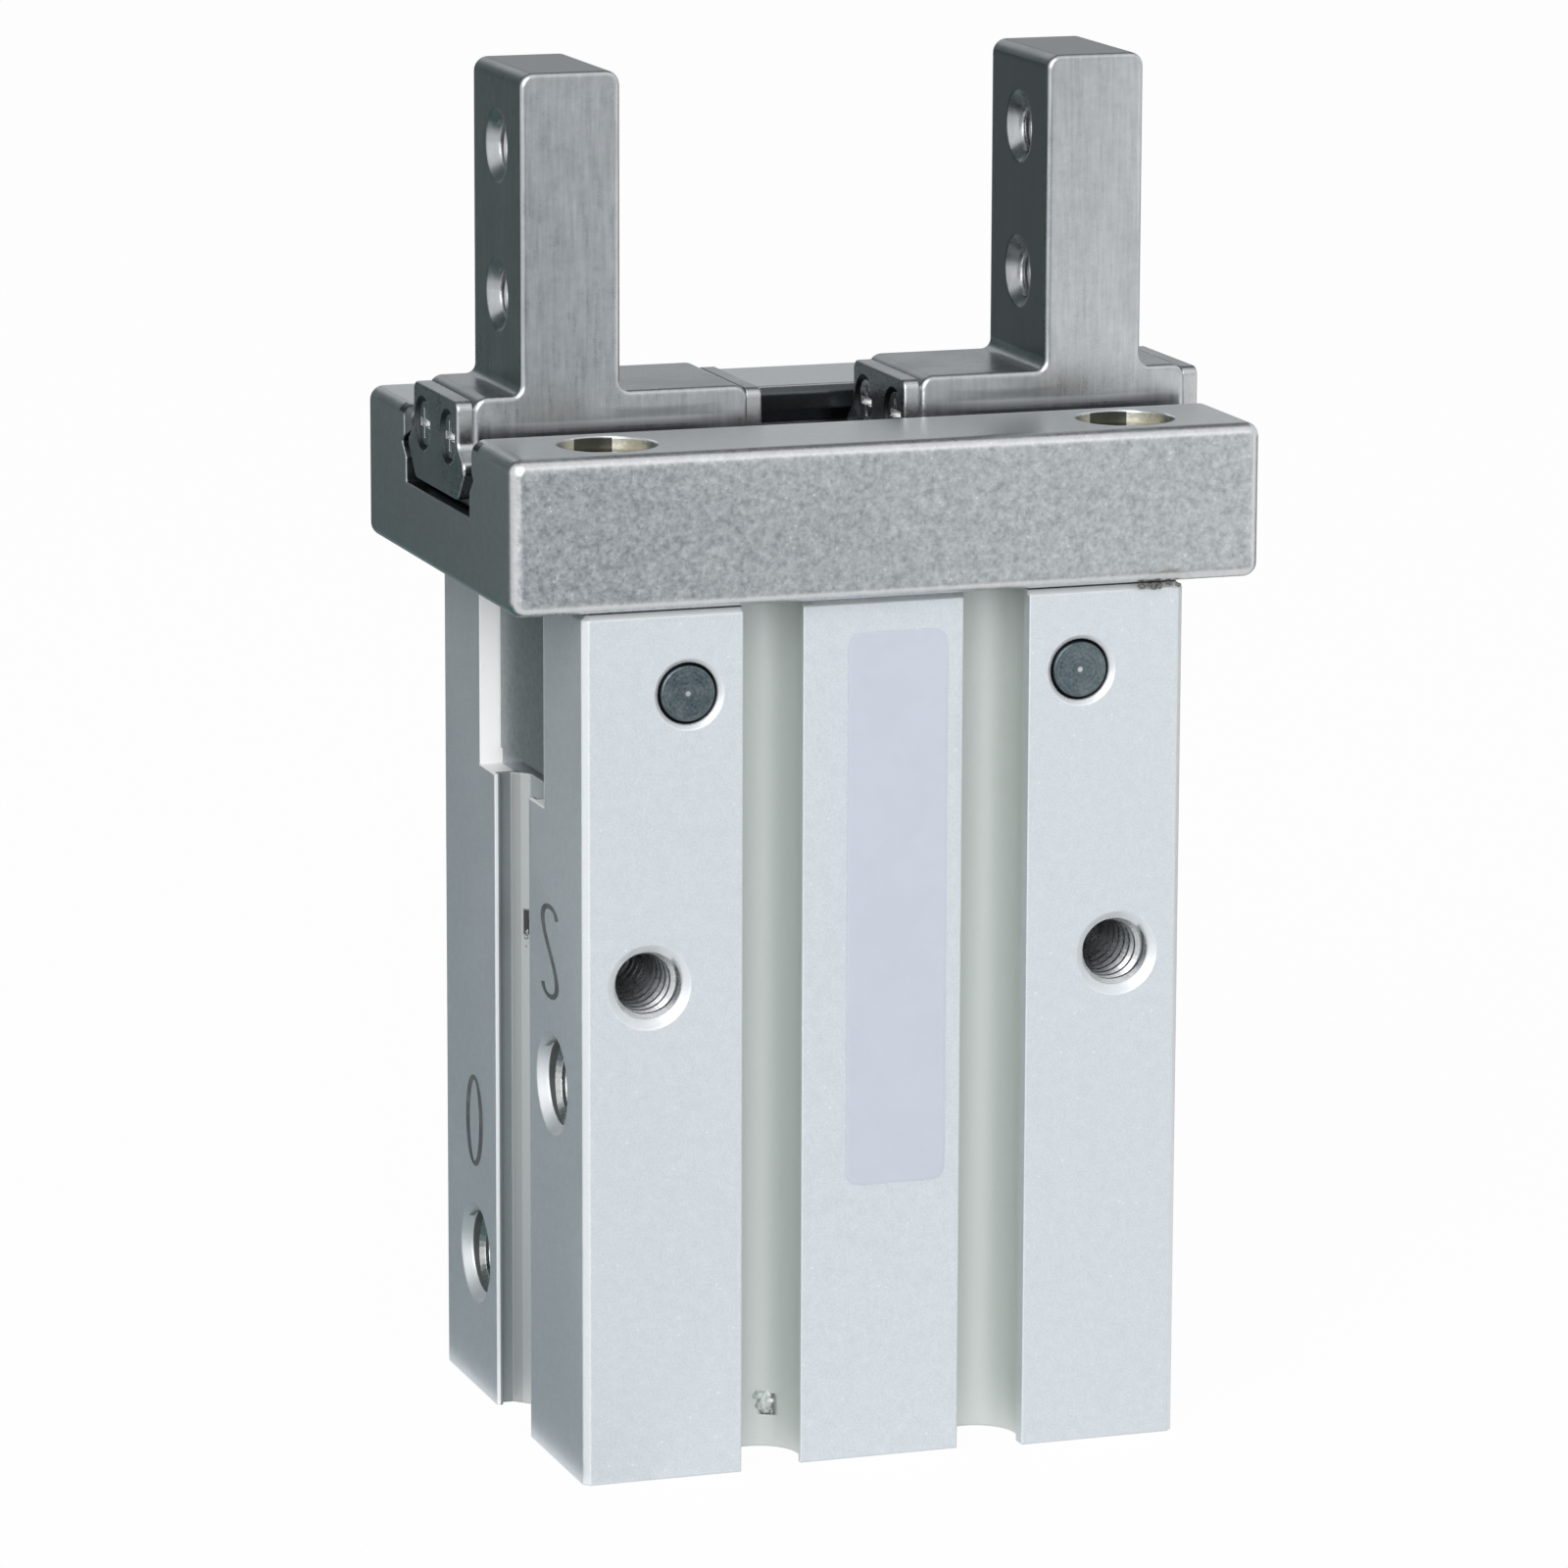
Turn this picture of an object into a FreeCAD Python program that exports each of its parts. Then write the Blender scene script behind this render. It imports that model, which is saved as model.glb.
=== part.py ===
# Pneumatic parallel gripper with a 16 mm bore: two fingers on crossed rollers,
# driven by a piston through a pair of bell-crank levers.
# Origin at the centre of the bottom face, +Z towards the fingertips, X along the
# fingers' travel, ports on the -X face. The fingers are open, as at the piston's upper end.
import FreeCAD, Part
import Sketcher
import math
import os
import re

doc = FreeCAD.newDocument("parallel_gripper")
sheet = doc.addObject("Spreadsheet::Sheet", "sizes")

# Driving dimensions in millimetres: alias, value, what it measures
driving = [
    ("body_width", 30.6, "body along the fingers' travel"),
    ("body_depth", 23.6, "body from front to back"),
    ("body_height", 43.0, "body from bottom face to guide"),
    ("body_edge", 0.3, "flat on the upright body edges"),
    ("body_top_chamfer", 0.4, "chamfer round the body's top"),
    ("rib_width", 8.14, "rib between the two sensor grooves"),
    ("rib_recess", 0.5, "how far that rib lies behind the face"),
    ("groove_mouth", 3.23, "sensor groove at the face"),
    ("groove_diameter", 4.0, "sensor groove inside"),
    ("groove_depth", 4.0, "sensor groove floor behind the face"),
    ("side_groove_mouth", 5.8, "side groove at the face"),
    ("side_groove_undercut", 0.4, "side groove behind each lip"),
    ("side_groove_lip", 0.3, "lip of the side groove"),
    ("side_groove_depth", 1.75, "side groove floor behind the face"),
    ("mount_inset", 3.3, "front and rear mounting holes from the body's sides"),
    ("mount_height", 24.6, "front and rear mounting holes above the bottom"),
    ("mount_core", 3.3, "core of the mounting threads"),
    ("mount_mouth", 4.2, "countersunk mouth of the mounting threads"),
    ("base_mouth", 3.9, "countersunk mouth of the bottom holes"),
    ("base_thread_depth", 8.0, "bottom mounting holes"),
    ("lever_slot_width", 10.8, "slot for the levers, front to back"),
    ("lever_slot_depth", 10.65, "slot for the levers below the body's top"),
    ("shaft_inset", 5.3, "lever shafts from the body's sides"),
    ("shaft_diameter", 3.0, "lever shafts"),
    ("shaft_fit", 0.01, "radial room of the shafts in the body"),
    ("shaft_setback", 0.15, "shaft ends behind the faces"),
    ("shaft_mouth", 3.5, "countersunk mouth of the shaft holes"),
    ("shaft_chamfer", 0.2, "edge of the shaft ends"),
    ("bore_diameter", 16.0, "cylinder bore"),
    ("bore_top", 20.3, "cylinder end wall above the bottom"),
    ("cap_shoulder", 0.5, "step from the bore out to the locating bore"),
    ("cap_seat", 5.2, "shoulder above the end cap"),
    ("clip_groove_depth", 0.86, "clip groove in the locating bore's wall"),
    ("clip_groove_height", 1.6, "lower wall of the clip groove"),
    ("clip_groove_width", 1.1, "clip groove along the bore"),
    ("rod_diameter", 6.0, "piston rod"),
    ("rod_clearance", 0.04, "radial room round the rod"),
    ("rod_seal_diameter", 9.2, "seat of the rod seal"),
    ("rod_seal_height", 25.5, "lower wall of that seat"),
    ("rod_seal_width", 2.2, "seat along the rod"),
    ("seal_clearance", 0.05, "radial room of the seals and rings"),
    ("port_core", 4.2, "core of the port threads"),
    ("port_mouth", 5.1, "countersunk mouth of the ports"),
    ("port_depth", 5.0, "port threads"),
    ("port_offset", 6.6, "ports from the middle plane"),
    ("upper_port_height", 18.9, "closing port above the bottom"),
    ("lower_port_height", 7.0, "opening port above the bottom"),
    ("passage_diameter", 1.6, "air passage from port to bore"),
    ("passage_offset", 5.4, "air passages from the middle plane"),
    ("guide_length", 38.0, "guide along the fingers' travel"),
    ("guide_depth", 25.0, "guide from front to back"),
    ("guide_height", 7.6, "guide above the body"),
    ("guide_edge", 0.7, "rounding of the guide's edges"),
    ("channel_width", 11.0, "finger channel in the guide"),
    ("channel_depth", 3.85, "finger channel in the guide"),
    ("channel_lip", 0.35, "chamfer along the channel's top edges"),
    ("tongue_setback", 1.05, "tongue faces behind the body's sides"),
    ("tongue_gap", 0.4, "tongues from the lever hubs"),
    ("tongue_clearance", 0.1, "room beside the tongues in the slot"),
    ("tongue_room", 0.85, "slot floor below the tongues"),
    ("window_room", 0.2, "room round the lever in its window"),
    ("bolt_inset", 2.1, "guide bolts from the body's sides"),
    ("bolt_diameter", 2.5, "guide bolts"),
    ("bolt_hole_room", 0.1, "radial room of the bolts in the guide"),
    ("bolt_thread_room", 0.02, "radial room of the bolts in the body"),
    ("bolt_head", 4.5, "guide bolt heads"),
    ("bolt_head_height", 2.5, "guide bolt heads"),
    ("bolt_edge", 0.25, "chamfers on the bolts"),
    ("bolt_socket", 2.0, "hexagon across flats"),
    ("bolt_socket_depth", 1.3, "hexagon"),
    ("bolt_wall", 0.5, "body left between the bolts and the shafts"),
    ("counterbore_room", 0.2, "radial room round the bolt heads"),
    ("counterbore_depth", 3.2, "guide bolt counterbores"),
    ("dowel_diameter", 2.0, "dowels between guide and body"),
    ("dowel_reach", 3.0, "dowel length in each piece"),
    ("dowel_room", 0.2, "depth left under each dowel"),
    ("finger_travel", 3.5, "travel of each finger"),
    ("finger_shoulder", 2.37, "finger base outside the upright"),
    ("finger_thickness", 5.0, "finger along the travel"),
    ("finger_width", 8.0, "finger front to back"),
    ("finger_height", 17.2, "fingertip above the guide"),
    ("finger_base_rise", 1.7, "finger base above the guide"),
    ("finger_float", 0.15, "finger base above the channel floor"),
    ("finger_tip_round", 0.7, "corners at the fingertip and base ends"),
    ("finger_foot_round", 0.5, "inner corners at the finger's foot"),
    ("finger_edge", 0.25, "rounded outline of the finger faces"),
    ("finger_hole_core", 2.5, "core of the finger threads"),
    ("finger_hole_mouth", 3.6, "countersunk mouth of the finger threads"),
    ("finger_hole_drop", 3.9, "upper finger hole below the tip"),
    ("finger_hole_spacing", 7.2, "finger holes"),
    ("closing_gap", 0.15, "each inner stopper from the middle when closed"),
    ("stopper_overhang", 0.1, "outer stoppers beyond the guide's ends"),
    ("stopper_thickness", 0.8, "stopper plates"),
    ("stopper_neck", 7.5, "stopper plate above its hips"),
    ("stopper_side_room", 0.6, "stopper plate from the channel walls"),
    ("stopper_foot", 7.0, "stopper plate's lower edge"),
    ("stopper_drop", 0.2, "stopper plate below the base's top"),
    ("stopper_neck_height", 2.2, "neck of the stopper plate"),
    ("stopper_flare", 0.9, "height of the slope from neck to hips"),
    ("stopper_room", 0.55, "stopper plate above the channel floor"),
    ("stopper_round", 0.45, "corners of the stopper plate"),
    ("stopper_edge", 0.15, "rounded outline of the stopper's outer face"),
    ("screw_spacing", 4.3, "stopper screws front to back"),
    ("screw_drop", 2.1, "stopper screws below the base's top"),
    ("screw_diameter", 1.6, "stopper screws"),
    ("screw_room", 0.04, "radial room of the screws"),
    ("screw_head", 2.2, "stopper screw heads"),
    ("screw_head_room", 0.1, "radial room of the screw heads"),
    ("screw_sink", 0.15, "screw heads below the plate's face"),
    ("screw_reach", 3.0, "stopper screws in the finger"),
    ("screw_recess_width", 0.4, "cross recess"),
    ("screw_recess_length", 1.5, "cross recess"),
    ("screw_recess_depth", 0.35, "cross recess"),
    ("roller_diameter", 2.0, "crossed rollers"),
    ("roller_shortening", 0.1, "rollers shorter than their diameter"),
    ("roller_end_room", 0.15, "room at the ends of a roller row"),
    ("race_clearance", 0.02, "room round the rollers"),
    ("lever_upper_arm", 9.2, "lever from shaft to finger slot"),
    ("lever_boss", 5.6, "lever hub"),
    ("lever_boss_room", 0.2, "room beside the lever hub"),
    ("lever_running_fit", 0.04, "radial room on the lever shaft"),
    ("lever_arm_height", 2.2, "section of the lever arms"),
    ("lever_upper_width", 4.0, "upper arm front to back"),
    ("lever_inner_width", 6.0, "inner arm front to back"),
    ("lever_nose", 1.8, "straight end of the inner arm"),
    ("lever_nose_height", 1.7, "section of that end"),
    ("lever_tip", 3.0, "round end of the upper arm"),
    ("lever_tip_room", 0.03, "room of that end in the finger"),
    ("lever_tip_headroom", 0.3, "slot depth above that end"),
    ("needle_diameter", 2.4, "needle roller at the inner arm"),
    ("needle_seat_room", 0.02, "room of the needle in its seat"),
    ("needle_groove_room", 0.05, "room of the needle between the joint's flanges"),
    ("needle_web_room", 0.25, "room of the needle beside the joint's web"),
    ("joint_width", 6.4, "joint front to back"),
    ("joint_web", 3.5, "web between the joint's grooves"),
    ("joint_flange", 1.35, "flanges of the joint"),
    ("joint_room", 0.3, "joint below the guide when open"),
    ("spigot_diameter", 2.2, "rod end in the joint"),
    ("spigot_fit", 0.02, "radial room of the rod end"),
    ("piston_bottom", 10.8, "piston's lower face above the bottom"),
    ("piston_clearance", 0.06, "radial room of the piston"),
    ("piston_land", 1.1, "lands at both ends and between the grooves"),
    ("piston_seal_width", 1.6, "piston seal groove"),
    ("piston_seal_depth", 1.7, "piston seal groove"),
    ("magnet_width", 2.0, "magnet groove"),
    ("magnet_depth", 2.0, "magnet groove"),
    ("cap_clearance", 0.05, "radial room of the end cap"),
    ("cap_rise", 0.8, "end cap's spigot into the bore"),
    ("cap_seal_section", 1.2, "ring on the end cap"),
    ("clip_section", 0.9, "clip along the bore"),
    ("clip_width", 1.3, "clip across its wire"),
    ("clip_gap", 7.0, "opening of the clip"),
    ("clip_ear", 2.4, "ears of the clip"),
    ("clip_ear_hole", 1.0, "holes in the ears"),
]
for row, (alias, size, meaning) in enumerate(driving, start=1):
    sheet.set(f"A{row}", meaning)
    sheet.set(f"B{row}", str(size))
    sheet.setAlias(f"B{row}", alias)
doc.recompute()

aliases = {alias for alias, _, _ in driving}
overcut = 1.0
roller_count = 5

# Places worked out from the driving dimensions
guide_top = "(body_height + guide_height)"
channel_floor = f"({guide_top} - channel_depth)"
race_height = f"({guide_top} - channel_depth / 2)"
race_middle = "((finger_width + channel_width) / 4)"
race_half_diagonal = "((roller_diameter + 2 * race_clearance) / sqrt(2))"
race_cut = f"({race_half_diagonal} - (channel_width - finger_width) / 4)"
slot_floor = "(body_height - lever_slot_depth)"
shaft_x = "(body_width / 2 - shaft_inset)"
mount_x = "(body_width / 2 - mount_inset)"
bolt_x = "(body_width / 2 - bolt_inset)"
bolt_y = "((channel_width + guide_depth) / 4)"
groove_x = "(rib_width / 2 + groove_mouth / 2)"
groove_y = "(body_depth / 2 - groove_depth + groove_diameter / 2)"
side_groove_floor = "(body_width / 2 - side_groove_depth)"
bore_radius = "(bore_diameter / 2)"
locating_radius = f"({bore_radius} + cap_shoulder)"
clip_radius = f"({locating_radius} + clip_groove_depth)"
base_x = f"(({clip_radius} + {side_groove_floor}) / 2)"
rod_hole = "(rod_diameter / 2 + rod_clearance)"
tip_height = f"({guide_top} + finger_height)"
base_top = f"({guide_top} + finger_base_rise)"
base_bottom = f"({channel_floor} + finger_float)"
base_inner = "(finger_travel + closing_gap + stopper_thickness)"
base_outer = "(guide_length / 2 + stopper_overhang - stopper_thickness)"
upright_outer = f"({base_outer} - finger_shoulder)"
upright_inner = f"({upright_outer} - finger_thickness)"
screw_height = f"({base_top} - screw_drop)"
lever_angle = "asin(finger_travel / 2 / lever_upper_arm)"
lever_tip_x = f"({shaft_x} + finger_travel / 2)"
needle_x = "(joint_web / 2 + needle_diameter / 2 + needle_web_room)"
lever_inner_arm = f"({shaft_x} - {needle_x})"
piston_travel = f"(finger_travel * {lever_inner_arm} / lever_upper_arm)"
joint_half_length = f"({needle_x} + needle_diameter / 2)"
joint_half_groove = "(needle_diameter / 2 + needle_groove_room)"
joint_half_height = f"({joint_half_groove} + joint_flange)"
joint_height = f"(body_height - joint_room - {joint_half_height})"
shaft_height = f"({joint_height} - {piston_travel} / 2)"
bolt_grip = f"(body_height - {shaft_height} - shaft_diameter / 2 - bolt_wall)"
piston_top = "(piston_bottom + 3 * piston_land + piston_seal_width + magnet_width)"
roller_length = "(roller_diameter - roller_shortening)"


def number(formula):
    found = sheet.evalExpression(formula)
    return float(getattr(found, "Value", found))


def bound(formula):
    return re.sub(r"[a-z_]+", lambda word: "sizes." + word[0] if word[0] in aliases else word[0], formula)


def new_body(label):
    body = doc.addObject("PartDesign::Body", label)
    body.Label = label
    return body


def origin_feature(body, role):
    return next(feature for feature in body.Origin.OriginFeatures if feature.Role == role)


def new_sketch(body, name, plane, offset=None):
    sketch = body.newObject("Sketcher::SketchObject", name)
    sketch.AttachmentSupport = [(origin_feature(body, plane), "")]
    sketch.MapMode = "FlatFace"
    if offset:
        sketch.setExpression("AttachmentOffset.Base.z", bound(offset))
    return sketch


def place_point(sketch, geometry, end, x, y):
    for kind, formula, axis in (("DistanceX", x, -2), ("DistanceY", y, -1)):
        if formula == "0":
            sketch.addConstraint(Sketcher.Constraint("PointOnObject", geometry, end, axis))
        else:
            index = sketch.addConstraint(
                Sketcher.Constraint(kind, -1, 1, geometry, end, number(formula)))
            sketch.setExpression(f"Constraints[{index}]", bound(formula))


def add_outline(sketch, corners):
    points = [FreeCAD.Vector(number(x), number(y), 0) for x, y in corners]
    lines = []
    for here, there in zip(points, points[1:] + points[:1]):
        lines.append(sketch.addGeometry(Part.LineSegment(here, there)))
    for line, following in zip(lines, lines[1:] + lines[:1]):
        sketch.addConstraint(Sketcher.Constraint("Coincident", line, 2, following, 1))
    for line, (x, y) in zip(lines, corners):
        place_point(sketch, line, 1, x, y)


def add_rectangle(sketch, left, right, low, high):
    add_outline(sketch, [(left, low), (right, low), (right, high), (left, high)])


def add_circle(sketch, x, y, radius):
    centre = FreeCAD.Vector(number(x), number(y), 0)
    circle = sketch.addGeometry(Part.Circle(centre, FreeCAD.Vector(0, 0, 1), number(radius)))
    place_point(sketch, circle, 3, x, y)
    index = sketch.addConstraint(Sketcher.Constraint("Radius", circle, number(radius)))
    sketch.setExpression(f"Constraints[{index}]", bound(radius))


def add_round_groove(sketch, x, y, radius, mouth, face, turned):
    # A round channel that opens through a narrower mouth, on the -Y side or turned to the +Y side
    side = -1 if turned else 1
    middle = FreeCAD.Vector(number(x), number(y), 0)
    half = number(mouth) / 2
    depth = math.sqrt(number(radius) ** 2 - half ** 2)
    start = math.atan2(-side * depth, side * half)
    sweep = math.pi + 2 * math.atan2(depth, half)
    near_corner = middle + FreeCAD.Vector(half, -depth, 0) * side
    far_corner = middle + FreeCAD.Vector(-half, -depth, 0) * side
    near_mouth = FreeCAD.Vector(near_corner.x, number(face), 0)
    far_mouth = FreeCAD.Vector(far_corner.x, number(face), 0)
    circle = Part.Circle(middle, FreeCAD.Vector(0, 0, 1), number(radius))
    chain = [
        sketch.addGeometry(Part.LineSegment(far_mouth, near_mouth)),
        sketch.addGeometry(Part.LineSegment(near_mouth, near_corner)),
        sketch.addGeometry(Part.ArcOfCircle(circle, start, start + sweep)),
        sketch.addGeometry(Part.LineSegment(far_corner, far_mouth)),
    ]
    for piece, following in zip(chain, chain[1:] + chain[:1]):
        sketch.addConstraint(Sketcher.Constraint("Coincident", piece, 2, following, 1))
    sketch.addConstraint(Sketcher.Constraint("Vertical", chain[1]))
    sketch.addConstraint(Sketcher.Constraint("Vertical", chain[3]))
    place_point(sketch, chain[2], 3, x, y)
    index = sketch.addConstraint(Sketcher.Constraint("Radius", chain[2], number(radius)))
    sketch.setExpression(f"Constraints[{index}]", bound(radius))
    place_point(sketch, chain[0], 1, f"{x} - {side} * {mouth} / 2", face)
    place_point(sketch, chain[0], 2, f"{x} + {side} * {mouth} / 2", face)


def extrude(kind, body, sketch, name, length=None, side="One side", reverse=False):
    feature = body.newObject("PartDesign::" + kind, name)
    feature.Profile = sketch
    feature.SideType = side
    feature.Reversed = reverse
    if length is None:
        feature.Type = "ThroughAll"
    else:
        feature.setExpression("Length", bound(length))
    doc.recompute()
    return feature


def drill(body, sketch, name, diameter, depth=None, mouth=None, counterbore=None, reverse=False):
    hole = body.newObject("PartDesign::Hole", name)
    hole.Profile = sketch
    hole.ThreadType = "None"
    hole.DrillPoint = "Flat"
    hole.Reversed = reverse
    hole.setExpression("Diameter", bound(diameter))
    if depth:
        hole.DepthType = "Dimension"
        hole.setExpression("Depth", bound(depth))
    else:
        hole.DepthType = "ThroughAll"
    if mouth:
        hole.HoleCutType = "Countersink"
        hole.setExpression("HoleCutDiameter", bound(mouth))
        hole.HoleCutCountersinkAngle = 90
    if counterbore:
        hole.HoleCutType = "Counterbore"
        hole.setExpression("HoleCutDiameter", bound(counterbore[0]))
        hole.setExpression("HoleCutDepth", bound(counterbore[1]))
    doc.recompute()
    return hole


def turn(kind, body, sketch, name):
    feature = body.newObject("PartDesign::" + kind, name)
    feature.Profile = sketch
    feature.ReferenceAxis = (sketch, ["V_Axis"])
    feature.Angle = 360
    doc.recompute()
    return feature


def near(a, b):
    return abs(a - b) < 1e-4


def edges_where(solid, test):
    names = []
    for index, edge in enumerate(solid.Shape.Edges, start=1):
        if edge.Degenerated:
            continue
        middle = edge.valueAt((edge.FirstParameter + edge.LastParameter) / 2)
        if test(edge, middle):
            names.append(f"Edge{index}")
    return names


def runs_along(edge, axis):
    if not isinstance(edge.Curve, Part.Line):
        return False
    return abs(edge.tangentAt(edge.FirstParameter).dot(axis)) > 0.999


def soften(kind, body, name, size_name, size, test):
    solid = body.Tip
    feature = body.newObject("PartDesign::" + kind, name)
    feature.Base = (solid, edges_where(solid, test))
    feature.setExpression(size_name, bound(size))
    doc.recompute()
    return feature


def fillet(body, name, radius, test):
    return soften("Fillet", body, name, "Radius", radius, test)


def chamfer(body, name, size, test):
    return soften("Chamfer", body, name, "Size", size, test)


def rim(radius, place):
    # Picks the circular edges of one radius whose plane or side the test names
    wanted = number(radius)

    def test(edge, middle):
        return isinstance(edge.Curve, Part.Circle) and near(edge.Curve.Radius, wanted) and place(middle)
    return test


def mirror_of(source, label, normal, middle=None):
    copy = doc.addObject("Part::Mirroring", label)
    copy.Label = label
    copy.Source = source
    copy.Normal = normal
    if middle:
        copy.setExpression("Base.x", bound(middle))
    return copy


def group_of(label, members):
    group = doc.addObject("Part::Compound", label)
    group.Label = label
    group.Links = members
    return group


x_axis = FreeCAD.Vector(1, 0, 0)
y_axis = FreeCAD.Vector(0, 1, 0)
z_axis = FreeCAD.Vector(0, 0, 1)
pieces = []


def make_body_block():
    body = new_body("body_block")
    half_width, half_depth = "body_width / 2", "body_depth / 2"
    sketch = new_sketch(body, "body_outline", "XY_Plane")
    add_outline(sketch, [
        (f"body_edge - {half_width}", f"-{half_depth}"), (f"{half_width} - body_edge", f"-{half_depth}"),
        (half_width, f"body_edge - {half_depth}"), (half_width, f"{half_depth} - body_edge"),
        (f"{half_width} - body_edge", half_depth), (f"body_edge - {half_width}", half_depth),
        (f"-{half_width}", f"{half_depth} - body_edge"), (f"-{half_width}", f"body_edge - {half_depth}"),
    ])
    extrude("Pad", body, sketch, "body_bar", "body_height")

    sketch = new_sketch(body, "rib_faces", "XY_Plane")
    outside = f"({half_depth} + {overcut})"
    rib_face = f"({half_depth} - rib_recess)"
    add_rectangle(sketch, "-rib_width / 2", "rib_width / 2", f"-{outside}", f"-{rib_face}")
    add_rectangle(sketch, "-rib_width / 2", "rib_width / 2", rib_face, outside)
    extrude("Pocket", body, sketch, "rib_recesses", reverse=True)

    sketch = new_sketch(body, "sensor_groove_outline", "XY_Plane")
    for x_side in ("", "-"):
        add_round_groove(sketch, f"{x_side}{groove_x}", f"-{groove_y}", "groove_diameter / 2",
                         "groove_mouth", f"-{outside}", turned=False)
        add_round_groove(sketch, f"{x_side}{groove_x}", groove_y, "groove_diameter / 2",
                         "groove_mouth", outside, turned=True)
    extrude("Pocket", body, sketch, "sensor_grooves", reverse=True)

    sketch = new_sketch(body, "side_groove_outline", "XY_Plane")
    lip = f"({half_width} - side_groove_lip)"
    undercut = "(side_groove_mouth / 2 + side_groove_undercut)"
    corner = "2 * side_groove_undercut"
    beside = [(f"({half_width} + {overcut})", "side_groove_mouth / 2"), (lip, "side_groove_mouth / 2"),
              (lip, undercut), (f"({side_groove_floor} + {corner})", undercut),
              (side_groove_floor, f"({undercut} - {corner})")]
    for side in ("", "-"):
        rear = [(side + x, y) for x, y in beside]
        front = [(x, f"-{y}") for x, y in reversed(rear)]
        add_outline(sketch, rear + front)
    extrude("Pocket", body, sketch, "side_grooves", reverse=True)

    # Cylinder, end cap seat, clip groove, rod hole and seal seat in one turning
    sketch = new_sketch(body, "bore_profile", "XZ_Plane")
    clip_top = "clip_groove_height + clip_groove_width"
    seal_top = "rod_seal_height + rod_seal_width"
    add_outline(sketch, [
        ("0", f"-{overcut}"), (locating_radius, f"-{overcut}"), (locating_radius, "clip_groove_height"),
        (clip_radius, "clip_groove_height"), (clip_radius, clip_top), (locating_radius, clip_top),
        (locating_radius, "cap_seat"), (bore_radius, "cap_seat"), (bore_radius, "bore_top"),
        (rod_hole, "bore_top"), (rod_hole, "rod_seal_height"), ("rod_seal_diameter / 2", "rod_seal_height"),
        ("rod_seal_diameter / 2", seal_top), (rod_hole, seal_top), (rod_hole, f"{slot_floor} + {overcut}"),
        ("0", f"{slot_floor} + {overcut}"),
    ])
    turn("Groove", body, sketch, "bore")

    sketch = new_sketch(body, "lever_slot_outline", "YZ_Plane")
    add_rectangle(sketch, "-lever_slot_width / 2", "lever_slot_width / 2",
                  slot_floor, f"body_height + {overcut}")
    extrude("Pocket", body, sketch, "lever_slot", side="Symmetric")

    # The mounting and shaft holes go right through and are countersunk on both faces
    for name, offset, rear in (("front", half_depth, False), ("rear", f"-{half_depth}", True)):
        sketch = new_sketch(body, name + "_mount_outline", "XZ_Plane", offset)
        for side in ("", "-"):
            add_circle(sketch, f"{side}{mount_x}", "mount_height", "mount_core / 2")
        drill(body, sketch, name + "_mount_holes", "mount_core", half_depth, mouth="mount_mouth", reverse=rear)
        sketch = new_sketch(body, name + "_shaft_outline", "XZ_Plane", offset)
        for side in ("", "-"):
            add_circle(sketch, f"{side}{shaft_x}", shaft_height, "shaft_diameter / 2 + shaft_fit")
        drill(body, sketch, name + "_shaft_holes", "shaft_diameter + 2 * shaft_fit", half_depth,
              mouth="shaft_mouth", reverse=rear)

    sketch = new_sketch(body, "port_outline", "YZ_Plane", f"-{half_width}")
    add_circle(sketch, "-port_offset", "upper_port_height", "port_core / 2")
    add_circle(sketch, "port_offset", "lower_port_height", "port_core / 2")
    drill(body, sketch, "ports", "port_core", "port_depth", mouth="port_mouth", reverse=True)
    sketch = new_sketch(body, "passage_outline", "YZ_Plane", f"port_depth - {half_width} - passage_diameter / 2")
    add_circle(sketch, "-passage_offset", "upper_port_height", "passage_diameter / 2")
    add_circle(sketch, "passage_offset", "lower_port_height", "passage_diameter / 2")
    wall = f"sqrt({bore_radius} * {bore_radius} - passage_offset * passage_offset)"
    extrude("Pocket", body, sketch, "air_passages",
            f"{half_width} - port_depth - {wall} + 1.5 * passage_diameter", reverse=True)

    sketch = new_sketch(body, "bolt_thread_outline", "XY_Plane", "body_height")
    for x_side in ("", "-"):
        for y_side in ("", "-"):
            add_circle(sketch, f"{x_side}{bolt_x}", f"{y_side}{bolt_y}", "bolt_diameter / 2")
    drill(body, sketch, "bolt_threads", "bolt_diameter + 2 * bolt_thread_room", f"{bolt_grip} + bolt_wall / 2")
    sketch = new_sketch(body, "dowel_outline", "XY_Plane", "body_height")
    for side in ("", "-"):
        add_circle(sketch, "0", f"{side}{bolt_y}", "dowel_diameter / 2")
    drill(body, sketch, "dowel_holes", "dowel_diameter", "dowel_reach + dowel_room")
    sketch = new_sketch(body, "base_outline", "XY_Plane")
    for side in ("", "-"):
        add_circle(sketch, f"{side}{base_x}", "0", "mount_core / 2")
    drill(body, sketch, "base_holes", "mount_core", "base_thread_depth", mouth="base_mouth", reverse=True)

    top = number("body_height")
    faces_x = number(half_width)
    faces_y = (number(half_depth), number(f"{half_depth} - rib_recess"))

    def on_top_rim(edge, middle):
        outside = near(abs(middle.x), faces_x) or any(near(abs(middle.y), face) for face in faces_y)
        corner_flat = abs(middle.x) + abs(middle.y) > faces_x + faces_y[0] - 1.01 * number("body_edge")
        return near(middle.z, top) and isinstance(edge.Curve, Part.Line) and (outside or corner_flat)
    chamfer(body, "top_chamfer", "body_top_chamfer", on_top_rim)
    pieces.append(body)


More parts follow.
